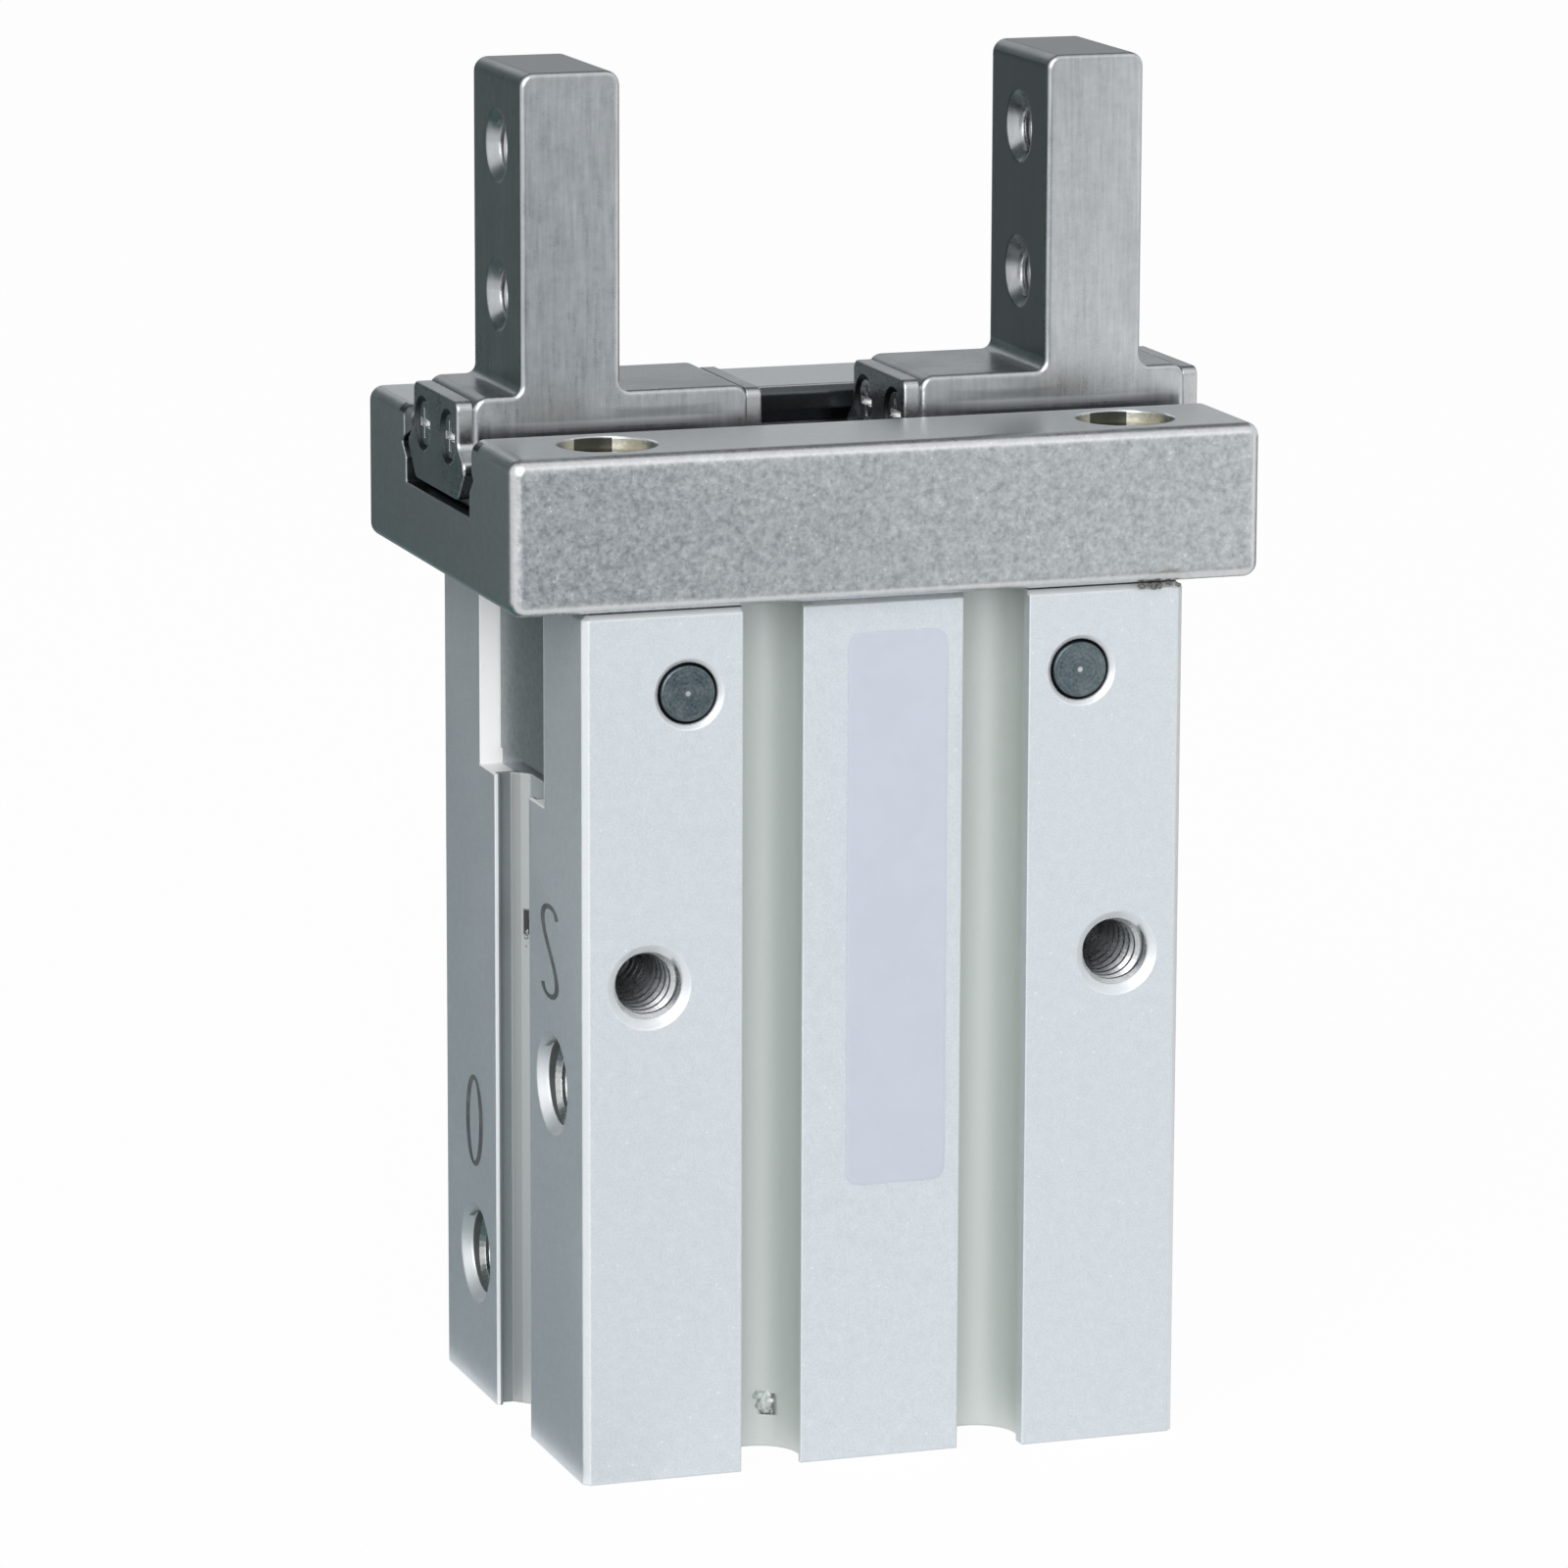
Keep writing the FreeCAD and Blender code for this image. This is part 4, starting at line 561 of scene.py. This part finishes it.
def makeTurned(name, finish):
    # turned metal: tool rings round its own axis, a darker or plated skin, bright edges that are partly
    # painted highlight and on some a dark rim of painted shade
    material, tree, surface, position = newMaterial(name, 1.0, finish["smooth"])
    place = doVector(tree, "ABSOLUTE", position) if finish["fourfold"] else position
    rings = placeGroup(tree, turnedRings, {
        "Position": place, "Centre": Vector(finish["centre"]) * mm, "Axis": finish["axis"],
        "Pitch": finish["pitch"] * mm})
    grain = layGrain(tree, position, {**finish, **turnedTooth})
    edge = placeGroup(tree, edgeLine, {"Radius": finish["edgeRadius"] * mm})
    tone = blendTones(tree, rings["Tone"], grain["Tone"], finish["ringShare"])
    tint = mixColour(tree, tone, colour(finish["dark"]), colour(finish["light"]))
    if "hub" in finish:
        outer, inner = (finish["hub"] * share * mm for share in hubFade)
        hub = mapRange(tree, rings["Radius"], outer, inner, smooth=True)
        tint = mixColour(tree, hub, tint, colour(finish["hubTint"]))
    tint = layTint(tree, tint, edge["Mask"], finish["edgeShare"], finish["edge"])
    # dark ring of painted shade round the rim
    if "rim" in finish:
        inner, outer = (finish["rim"] * share * mm for share in shadedRimFade)
        rimShade = mapRange(tree, rings["Radius"], inner, outer, smooth=True)
        tint = mixColour(tree, rimShade, tint, colour(finish["rimTint"]))
    setInput(tree, surface["Base Color"], tint)
    setInput(tree, surface["Roughness"], mapRange(tree, tone, 0.0, 1.0, finish["smooth"], finish["rough"]))
    roughen(tree, surface, rings["Height"], finish, edge["Normal"])
    return material


shaftFinish = {
    "centre": (10.0, 0.0, 38.81), "axis": (0.0, 1.0, 0.0), "pitch": 0.24, "fourfold": True, "hub": 0.14,
    "dark": (0.025, 0.048, 0.058), "light": (0.195, 0.228, 0.240), "hubTint": (0.50, 0.53, 0.55),
    "edge": (0.30, 0.34, 0.36), "edgeShare": 0.4, "edgeRadius": 0.1, "ringShare": 0.12, "coarse": 850.0,
    # the rim entries paint a dark ring of painted shade round the shaft's end
    "rim": 1.37, "rimTint": (0.012, 0.016, 0.018), "smooth": 0.26, "rough": 0.42, "bump": 0.2,
    "bumpDepth": 0.004,
}
boltFinish = {
    "centre": (13.2, 9.0, 49.0), "axis": (0.0, 0.0, 1.0), "pitch": 0.22, "fourfold": True,
    "dark": (0.50, 0.44, 0.265), "light": (0.76, 0.68, 0.43),
    "edge": (0.88, 0.82, 0.62), "edgeShare": 0.5, "edgeRadius": 0.1, "ringShare": 0.35, "coarse": 1800.0,
    "smooth": 0.48, "rough": 0.60, "bump": 0.25, "bumpDepth": 0.005,
}
rollerFinish = {
    "centre": (0.0, 0.0, 48.7), "axis": (1.0, 0.0, 0.0), "pitch": 0.3, "fourfold": False,
    "dark": (0.44, 0.45, 0.46), "light": (0.56, 0.57, 0.58),
    "edge": (0.80, 0.80, 0.81), "edgeShare": 0.4, "edgeRadius": 0.06, "ringShare": 0.2, "coarse": 1800.0,
    "smooth": 0.14, "rough": 0.22, "bump": 0.1, "bumpDepth": 0.003,
}
capFinish = {
    "centre": (0.0, 0.0, 3.0), "axis": (0.0, 0.0, 1.0), "pitch": 0.35, "fourfold": False, "hub": 0.25,
    "dark": (0.58, 0.59, 0.60), "light": (0.72, 0.73, 0.74), "hubTint": (0.48, 0.49, 0.50),
    "edge": (0.88, 0.88, 0.89), "edgeShare": 0.5, "edgeRadius": 0.1, "ringShare": 0.6, "coarse": 1800.0,
    "smooth": 0.28, "rough": 0.40, "bump": 0.35, "bumpDepth": 0.008,
}
pistonFinish = dict(capFinish, dark=(0.46, 0.47, 0.48), light=(0.58, 0.59, 0.60), smooth=0.2, rough=0.3)
shaftSteel = makeTurned("shaftSteel", shaftFinish)
boltZinc = makeTurned("boltZinc", boltFinish)
rollerSteel = makeTurned("rollerSteel", rollerFinish)
capAluminium = makeTurned("capAluminium", capFinish)
pistonSteel = makeTurned("pistonSteel", pistonFinish)


sealFinish = {
    "dark": (0.012, 0.012, 0.013), "light": (0.035, 0.035, 0.036), "smooth": 0.42, "rough": 0.6,
    "fine": 7000.0, "coarse": 900.0, "mottle": 0.6, "specks": 0.2, "bump": 0.3, "bumpDepth": 0.008,
}
greaseFinish = {
    "dark": (0.030, 0.030, 0.026), "light": (0.22, 0.22, 0.195), "smooth": 0.3, "rough": 0.55,
    "fine": 9000.0, "coarse": 3500.0, "mottle": 0.5, "specks": 0.3, "bump": 0.4, "bumpDepth": 0.01,
}


def makeSoft(name, finish):
    # rubber or grease: two tones and a gloss that follow one grain
    material, tree, surface, position = newMaterial(name, 0.0, finish["rough"])
    grain = layGrain(tree, position, finish)
    tint = mixColour(tree, grain["Tone"], colour(finish["dark"]), colour(finish["light"]))
    gloss = mapRange(tree, grain["Tone"], 0.0, 1.0, finish["smooth"], finish["rough"])
    setInput(tree, surface["Base Color"], tint)
    setInput(tree, surface["Roughness"], gloss)
    roughen(tree, surface, grain["Height"], finish)
    return material


sealRubber = makeSoft("sealRubber", sealFinish)
seamGrease = makeSoft("seamGrease", greaseFinish)

nodeMaterials = {
    anodisedAluminium: ["body_block"],
    guideSteel: ["guide_rail"],
    fingerSteel: ["left_finger", "right_finger"],
    plateSteel: ["left_outer_stopper", "left_inner_stopper", "right_outer_stopper", "right_inner_stopper"],
    screwSteel: ["left_stopper_screws", "right_stopper_screws"],
    boltZinc: ["guide_bolts"],
    shaftSteel: ["left_lever_shaft", "right_lever_shaft"],
    rollerSteel: ["left_front_rollers", "left_rear_rollers", "right_front_rollers", "right_rear_rollers",
                  "left_needle_roller", "right_needle_roller", "guide_dowels", "rod_joint"],
    leverSteel: ["left_lever", "right_lever"],
    springSteel: ["retaining_clip"],
    capAluminium: ["end_cap"],
    pistonSteel: ["piston"],
    magnetDark: ["piston_magnet"],
    sealRubber: ["piston_seal", "rod_seal", "end_cap_seal"],
}
for material, names in nodeMaterials.items():
    for name in names:
        nodes[name].data.materials[0] = material
print("materials given to", sum(len(names) for names in nodeMaterials.values()), "nodes")


# Pieces that only the looks need

def newPiece(name, build, material, body):
    mesh = bpy.data.meshes.new(name)
    build.to_mesh(mesh)
    build.free()
    mesh.materials.append(material)
    piece = bpy.data.objects.new(name, mesh)
    bpy.context.scene.collection.objects.link(piece)
    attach(piece, body)


# crest and root are shares of the pitch, sunk is in mm
threadCut = {"pointsAround": 40, "crest": 0.12, "root": 0.44, "sunk": 0.03, "fadeTurns": 0.35}


def makeThread(name, mouth, axis, thread, material, body):
    # ridge of a tapped thread, a small trapezium wound along the hole's wall
    build = bmesh.new()
    along = Vector(axis)
    across = along.orthogonal().normalized()
    beyond = along.cross(across)
    pointsAround, pitch = threadCut["pointsAround"], thread["pitch"]
    steps = int(thread["length"] / pitch * pointsAround)
    foot = thread["radius"] + threadCut["sunk"]
    tip = thread["radius"] - thread["depth"]
    profile = [(foot, -threadCut["root"]), (tip, -threadCut["crest"]),
               (tip, threadCut["crest"]), (foot, threadCut["root"])]
    sections = []
    for step in range(steps + 1):
        angle = math.tau * step / pointsAround
        outward = across * math.cos(angle) + beyond * math.sin(angle)
        travel = step / pointsAround * pitch
        fade = min(1.0, min(step, steps - step) / (pointsAround * threadCut["fadeTurns"]))
        section = []
        for radius, share in profile:
            reach = outward * (foot + (radius - foot) * fade)
            place = Vector(mouth) + along * (travel + share * pitch) + reach
            section.append(build.verts.new(place * mm))
        sections.append(section)
    for here, there in zip(sections, sections[1:]):
        for low in range(len(profile) - 1):
            build.faces.new((here[low], here[low + 1], there[low + 1], there[low]))
    bmesh.ops.recalc_face_normals(build, faces=build.faces)
    newPiece(name, build, material, body)


sideSigns = {"left": -1.0, "right": 1.0}
faceWays = {"front": 1.0, "rear": -1.0}  # along Y, into the body from that face
mountThread = {"x": 12.0, "z": 24.6, "face": 11.8, "start": 0.5, "length": 7.7, "radius": 1.65, "depth": 0.2,
               "pitch": 0.7}
portThread = {"face": 15.3, "start": 0.45, "length": 4.0, "radius": 2.1, "depth": 0.28, "pitch": 0.8,
              "places": {"closing": (-6.6, 18.9), "opening": (6.6, 7.0)}}
baseThread = {"x": 11.455, "start": 0.4, "length": 6.4, "radius": 1.65, "depth": 0.2, "pitch": 0.7}
fingerThread = {"outer": 15.93, "heights": {"upper": 63.9, "lower": 56.7}, "start": 0.5, "length": 4.0,
                "radius": 1.25, "depth": 0.16, "pitch": 0.5}
for side, sign in sideSigns.items():
    for face, way in faceWays.items():
        depth = mountThread["face"] - mountThread["start"]
        mouth = (sign * mountThread["x"], -way * depth, mountThread["z"])
        makeThread(f"{side}_{face}_mount_thread", mouth, (0.0, way, 0.0), mountThread,
                   threadMetal, "housing")
    mouth = (sign * baseThread["x"], 0.0, baseThread["start"])
    makeThread(f"{side}_base_thread", mouth, (0.0, 0.0, 1.0), baseThread,
               threadMetal, "housing")
    for row, height in fingerThread["heights"].items():
        mouth = (sign * (fingerThread["outer"] - fingerThread["start"]), 0.0, height)
        makeThread(f"{side}_{row}_finger_thread", mouth, (-sign, 0.0, 0.0), fingerThread,
                   fingerSteel, f"{side}_finger")
for name, (y, z) in portThread["places"].items():
    mouth = (-portThread["face"] + portThread["start"], y, z)
    makeThread(f"{name}_port_thread", mouth, (1.0, 0.0, 0.0), portThread,
               threadMetal, "housing")
print("threads cut")


# wallShare is the share of the thickness that rises straight, before the rim slopes in
labelFilm = {
    "left": -1.8, "right": 3.3, "low": 13.8, "high": 41.2, "face": -11.3, "thick": 0.05, "corner": 0.7,
    "cornerSteps": 6, "wallShare": 0.7, "rimWide": 0.12,
}
filmFinish = {
    "tint": (0.56, 0.60, 0.68), "worn": (0.52, 0.555, 0.63), "coat": 0.2, "coatRough": 0.25,
    "fine": 9000.0, "coarse": 700.0, "mottle": 0.5, "specks": 0.2, "hazeScale": 320.0, "hazeShare": 0.4,
    "grainShare": 0.3, "smooth": 0.32, "rough": 0.46, "bump": 0.2, "bumpDepth": 0.004,
}


def makeFilm():
    # plain sticker film with a thin coat
    material, tree, surface, position = newMaterial("labelFilm", 0.0, filmFinish["rough"])
    haze = layHaze(tree, position, filmFinish)
    grain = layGrain(tree, position, filmFinish)
    share = doMath(tree, "ADD", doMath(tree, "MULTIPLY", haze, filmFinish["hazeShare"]),
                   doMath(tree, "MULTIPLY", grain["Tone"], filmFinish["grainShare"]))
    tint = mixColour(tree, share, colour(filmFinish["tint"]), colour(filmFinish["worn"]))
    gloss = mapRange(tree, haze, 0.0, 1.0, filmFinish["smooth"], filmFinish["rough"])
    setInput(tree, surface["Base Color"], tint)
    setInput(tree, surface["Roughness"], gloss)
    setInput(tree, surface["Coat Weight"], filmFinish["coat"])
    setInput(tree, surface["Coat Roughness"], filmFinish["coatRough"])
    roughen(tree, surface, grain["Height"], filmFinish)
    return material


def roundedRectangle(left, right, low, high, corner, steps):
    points = []
    for x, z, start in ((right - corner, high - corner, 0), (left + corner, high - corner, 1),
                        (left + corner, low + corner, 2), (right - corner, low + corner, 3)):
        for step in range(steps + 1):
            angle = math.pi / 2 * (start + step / steps)
            points.append((x + corner * math.cos(angle), z + corner * math.sin(angle)))
    return points


def makeLabel():
    build = bmesh.new()
    rings = []
    for inset, lift in ((0.0, 0.0), (0.0, labelFilm["wallShare"]), (labelFilm["rimWide"], 1.0)):
        outline = roundedRectangle(
            labelFilm["left"] + inset, labelFilm["right"] - inset, labelFilm["low"] + inset,
            labelFilm["high"] - inset, labelFilm["corner"] - inset, labelFilm["cornerSteps"])
        depth = labelFilm["face"] - lift * labelFilm["thick"]
        rings.append([build.verts.new(Vector((x, depth, z)) * mm) for x, z in outline])
    for here, there in zip(rings, rings[1:]):
        for i in range(len(here)):
            j = (i + 1) % len(here)
            build.faces.new((here[i], here[j], there[j], there[i]))
    build.faces.new(rings[-1])
    bmesh.ops.recalc_face_normals(build, faces=build.faces)
    newPiece("label_film", build, makeFilm(), "housing")


makeLabel()
print("label film laid")


# curlSwing and curlRise are the half turns of the sines that carry the shut mark sideways and up,
# counted from its middle to its end
portMarks = {
    "face": -15.3, "lift": 0.012, "pen": (0.62, 0.24), "height": 4.45, "width": 2.3, "points": 48,
    "open": (6.7, 13.83), "shut": (-6.3, 25.4), "curlSwing": 1.45, "curlRise": 0.72,
}
inkFinish = {
    "ink": (0.080, 0.087, 0.091), "faded": (0.19, 0.20, 0.205), "rough": 0.6, "hazeScale": 900.0,
    "fine": 9000.0, "coarse": 2500.0, "mottle": 0.5, "specks": 0.2,
}


def makeInk():
    # dark ink, faded in patches
    material, tree, surface, position = newMaterial("markInk", 0.0, inkFinish["rough"])
    haze = layHaze(tree, position, inkFinish)
    grain = layGrain(tree, position, inkFinish)
    share = doMath(tree, "MULTIPLY", haze, grain["Tone"])
    tint = mixColour(tree, share, colour(inkFinish["ink"]), colour(inkFinish["faded"]))
    setInput(tree, surface["Base Color"], tint)
    return material


def strokePiece(name, path, closed, material):
    # flat stroke on the port face through (along, height) points, with a pen that is wider along the face
    build = bmesh.new()
    halfAlong, halfUp = portMarks["pen"][0] / 2, portMarks["pen"][1] / 2
    pairs = []
    count = len(path)
    for i, point in enumerate(path):
        before = path[(i - 1) % count] if closed or i else path[i]
        after = path[(i + 1) % count] if closed or i < count - 1 else path[i]
        run = Vector((after[0] - before[0], after[1] - before[1])).normalized()
        pair = []
        for way in (-1.0, 1.0):
            place = (portMarks["face"] - portMarks["lift"], point[0] - run.y * halfAlong * way,
                     point[1] + run.x * halfUp * way)
            pair.append(build.verts.new(Vector(place) * mm))
        pairs.append(pair)
    steps = count if closed else count - 1
    for i in range(steps):
        here, there = pairs[i], pairs[(i + 1) % count]
        build.faces.new((here[0], here[1], there[1], there[0]))
    bmesh.ops.recalc_face_normals(build, faces=build.faces)
    newPiece(name, build, material, "housing")


def makePortMarks():
    ink = makeInk()
    halfWidth, halfHeight = portMarks["width"] / 2, portMarks["height"] / 2
    y, z = portMarks["open"]
    ring = []
    for i in range(portMarks["points"]):
        angle = math.tau * i / portMarks["points"]
        ring.append((y + halfWidth * math.cos(angle), z + halfHeight * math.sin(angle)))
    strokePiece("open_port_mark", ring, True, ink)
    y, z = portMarks["shut"]
    curl = []
    for i in range(portMarks["points"] + 1):
        share = 2.0 * i / portMarks["points"] - 1.0
        swing = math.sin(share * math.pi * portMarks["curlSwing"])
        rise = math.sin(share * math.pi * portMarks["curlRise"])
        curl.append((y + halfWidth * swing, z + halfHeight * rise))
    strokePiece("shut_port_mark", curl, False, ink)


makePortMarks()
print("port marks drawn")


crumbShape = {"subdivisions": 2, "ragged": 0.22}
crumbSpots = {
    "seam_grease": {
        "middle": (13.9, -11.95, 42.86), "spread": (1.05, 0.12, 0.10), "count": 11, "size": (0.06, 0.17),
        "seed": 4, "material": seamGrease, "slot": "guide_steel"},
    "side_groove_burrs": {
        "middle": (-13.72, 2.72, 23.95), "spread": (0.05, 0.05, 0.4), "count": 5, "size": (0.07, 0.13),
        "seed": 7, "material": threadMetal, "slot": "anodised_aluminium"},
    "clip_groove_burr": {
        "middle": (-4.72, -7.90, 2.16), "spread": (0.38, 0.05, 0.46), "count": 18, "size": (0.22, 0.34),
        "seed": 2, "material": anodisedAluminium, "slot": "anodised_aluminium"},
}


def makeCrumbs(name, spot):
    # ragged lumps scattered round a spot
    chance = random.Random(spot["seed"])
    build = bmesh.new()
    for _ in range(spot["count"]):
        place = [centre + chance.uniform(-1.0, 1.0) * reach
                 for centre, reach in zip(spot["middle"], spot["spread"])]
        sizes = [chance.uniform(*spot["size"]) for _ in range(3)]
        ball = bmesh.ops.create_icosphere(build, subdivisions=crumbShape["subdivisions"], radius=1.0)
        for vert in ball["verts"]:
            knob = 1.0 + chance.uniform(-crumbShape["ragged"], crumbShape["ragged"])
            lump = Vector([share * size * knob for share, size in zip(vert.co, sizes)])
            vert.co = (Vector(place) + lump) * mm
    newPiece(name, build, spot["material"], "housing")


for name, spot in crumbSpots.items():
    makeCrumbs(name, spot)
print("crumbs scattered")


# Studio: camera, white stage and soft light

# place in mm, turns in degrees, clip in metres
photoCamera = {"place": (-122.21, -355.07, 109.69), "azimuth": -18.821, "elevation": 11.768, "roll": 0.190,
               "lens": 177.26, "sensor": 36.0, "clip": (0.01, 20.0)}


def makeCamera():
    data = bpy.data.cameras.new("photoCamera")
    data.lens = photoCamera["lens"]
    data.sensor_width = photoCamera["sensor"]
    data.clip_start, data.clip_end = photoCamera["clip"]
    camera = bpy.data.objects.new("photoCamera", data)
    bpy.context.scene.collection.objects.link(camera)
    azimuth, elevation = math.radians(photoCamera["azimuth"]), math.radians(photoCamera["elevation"])
    back = Vector((math.sin(azimuth) * math.cos(elevation), -math.cos(azimuth) * math.cos(elevation),
                   math.sin(elevation)))
    aim = (-back).to_track_quat("-Z", "Y") @ Quaternion((0.0, 0.0, 1.0), math.radians(photoCamera["roll"]))
    camera.location = Vector(photoCamera["place"]) * mm
    camera.rotation_mode = "QUATERNION"
    camera.rotation_quaternion = aim
    bpy.context.scene.camera = camera


# floorDrop and lampAim are in mm, the floor's width and the lamps' places and sizes in metres, power in watts
studio = {
    "worldLight": 0.48, "worldTint": (0.96, 0.98, 1.0), "white": (1.0, 1.0, 1.0), "floorWide": 6.0,
    "floorTint": 0.86, "floorGlow": 0.97, "floorDrop": 0.02, "lampAim": (0.0, 0.0, 34.0),
}
lamps = {
    "keyLight": {"place": (-0.45, -0.70, 0.45), "size": (0.7, 0.7), "power": 6.1},
    "fillLight": {"place": (0.55, -0.80, 0.62), "size": (0.6, 0.6), "power": 0.4},
}
cards = {
    "sideCard": {"corner": (-60.0, 16.0, 0.0), "along": (0.0, 340.0, 0.0), "up": (0.0, 0.0, 220.0),
                 "shade": (0.072, 0.098, 0.101)},
    "sideMat": {"corner": (-200.0, -12.0, 0.1), "along": (184.0, 0.0, 0.0), "up": (0.0, 312.0, 0.0),
                "shade": (0.105, 0.165, 0.170)},
    "backCard": {"corner": (-400.0, 600.0, 50.0), "along": (1400.0, 0.0, 0.0), "up": (0.0, 0.0, 750.0),
                 "shade": (0.53, 0.55, 0.56)},
    "backMat": {"corner": (-16.0, 20.0, 0.1), "along": (500.0, 0.0, 0.0), "up": (0.0, 570.0, 0.0),
                "shade": (0.28, 0.295, 0.30)},
    "topCard": {"corner": (-300.0, -20.0, 600.0), "along": (800.0, 0.0, 0.0), "up": (0.0, 610.0, 0.0),
                "shade": (0.15, 0.16, 0.165)},
    "frontMat": {"corner": (40.0, -130.0, 0.1), "along": (-300.0, 0.0, 0.0), "up": (126.0, -370.0, 0.0),
                 "shade": (0.14, 0.20, 0.27)},
    "frontCard": {"corner": (40.0, -130.0, 0.1), "along": (400.0, 0.0, 0.0), "up": (126.0, -370.0, 0.0),
                  "shade": (1.70, 1.70, 1.69)},
}


def seenDirectly(tree):
    # camera, mirror and glass rays
    path = addNode(tree, "ShaderNodeLightPath").outputs
    seen = doMath(tree, "MAXIMUM", path["Is Camera Ray"], path["Is Glossy Ray"])
    return doMath(tree, "MAXIMUM", seen, path["Is Transmission Ray"])


def makeWorld():
    world = bpy.data.worlds.new("studioWorld")
    world.cycles.sampling_method = "NONE"
    tree = clearTree(world)
    light = addNode(tree, "ShaderNodeBackground", {
        "Color": colour(studio["worldTint"]), "Strength": studio["worldLight"]})
    white = addNode(tree, "ShaderNodeBackground", {"Color": colour(studio["white"]), "Strength": 1.0})
    mix = addNode(tree, "ShaderNodeMixShader", {
        0: seenDirectly(tree), 1: light.outputs[0], 2: white.outputs[0]})
    addNode(tree, "ShaderNodeOutputWorld", {"Surface": mix.outputs[0]})
    bpy.context.scene.world = world


def makeSheet(name, corners, material):
    mesh = bpy.data.meshes.new(name)
    mesh.from_pydata([Vector(corner) for corner in corners], [], [(0, 1, 2, 3)])
    mesh.materials.append(material)
    sheet = bpy.data.objects.new(name, mesh)
    bpy.context.scene.collection.objects.link(sheet)
    return sheet


def makeFloor():
    material = bpy.data.materials.new("floorPaper")
    tree = clearTree(material)
    paper = addNode(tree, "ShaderNodeBsdfDiffuse", {"Color": colour((studio["floorTint"],) * 3)})
    glow = addNode(tree, "ShaderNodeEmission", {"Color": colour(studio["white"]), "Strength": 1.0})
    share = doMath(tree, "MULTIPLY", seenDirectly(tree), studio["floorGlow"])
    mix = addNode(tree, "ShaderNodeMixShader", {0: share, 1: paper.outputs[0], 2: glow.outputs[0]})
    clear = addNode(tree, "ShaderNodeBsdfTransparent")  # seen from below, the floor is not there
    under = addNode(tree, "ShaderNodeNewGeometry").outputs["Backfacing"]
    whole = addNode(tree, "ShaderNodeMixShader", {0: under, 1: mix.outputs[0], 2: clear.outputs[0]})
    addNode(tree, "ShaderNodeOutputMaterial", {"Surface": whole.outputs[0]})
    half, low = studio["floorWide"] / 2, -studio["floorDrop"] * mm
    corners = [(-half, -half, low), (half, -half, low), (half, half, low), (-half, half, low)]
    makeSheet("floor", corners, material)


def makeCard(name, card):
    # board that only the metal sees, as a photographer's flag or reflector beside the product
    material = bpy.data.materials.new(name)
    tree = clearTree(material)
    glow = addNode(tree, "ShaderNodeEmission", {"Color": colour(card["shade"]), "Strength": 1.0})
    addNode(tree, "ShaderNodeOutputMaterial", {"Surface": glow.outputs[0]})
    corner, along, up = (Vector(card[key]) * mm for key in ("corner", "along", "up"))
    board = makeSheet(name, [corner, corner + along, corner + along + up, corner + up], material)
    board.visible_camera = False
    board.visible_diffuse = False
    board.visible_shadow = False
    board.visible_transmission = False


def makeLamp(name, lamp):
    data = bpy.data.lights.new(name, "AREA")
    data.shape = "RECTANGLE"
    data.size, data.size_y = lamp["size"]
    data.energy = lamp["power"]
    light = bpy.data.objects.new(name, data)
    bpy.context.scene.collection.objects.link(light)
    light.location = Vector(lamp["place"])
    light.rotation_mode = "QUATERNION"
    aim = Vector(studio["lampAim"]) * mm
    light.rotation_quaternion = (aim - light.location).to_track_quat("-Z", "Y")


bpy.context.scene.view_settings.view_transform = "Standard"
makeCamera()
makeWorld()
makeFloor()
for name, card in cards.items():
    makeCard(name, card)
for name, lamp in lamps.items():
    makeLamp(name, lamp)
print("studio lit")
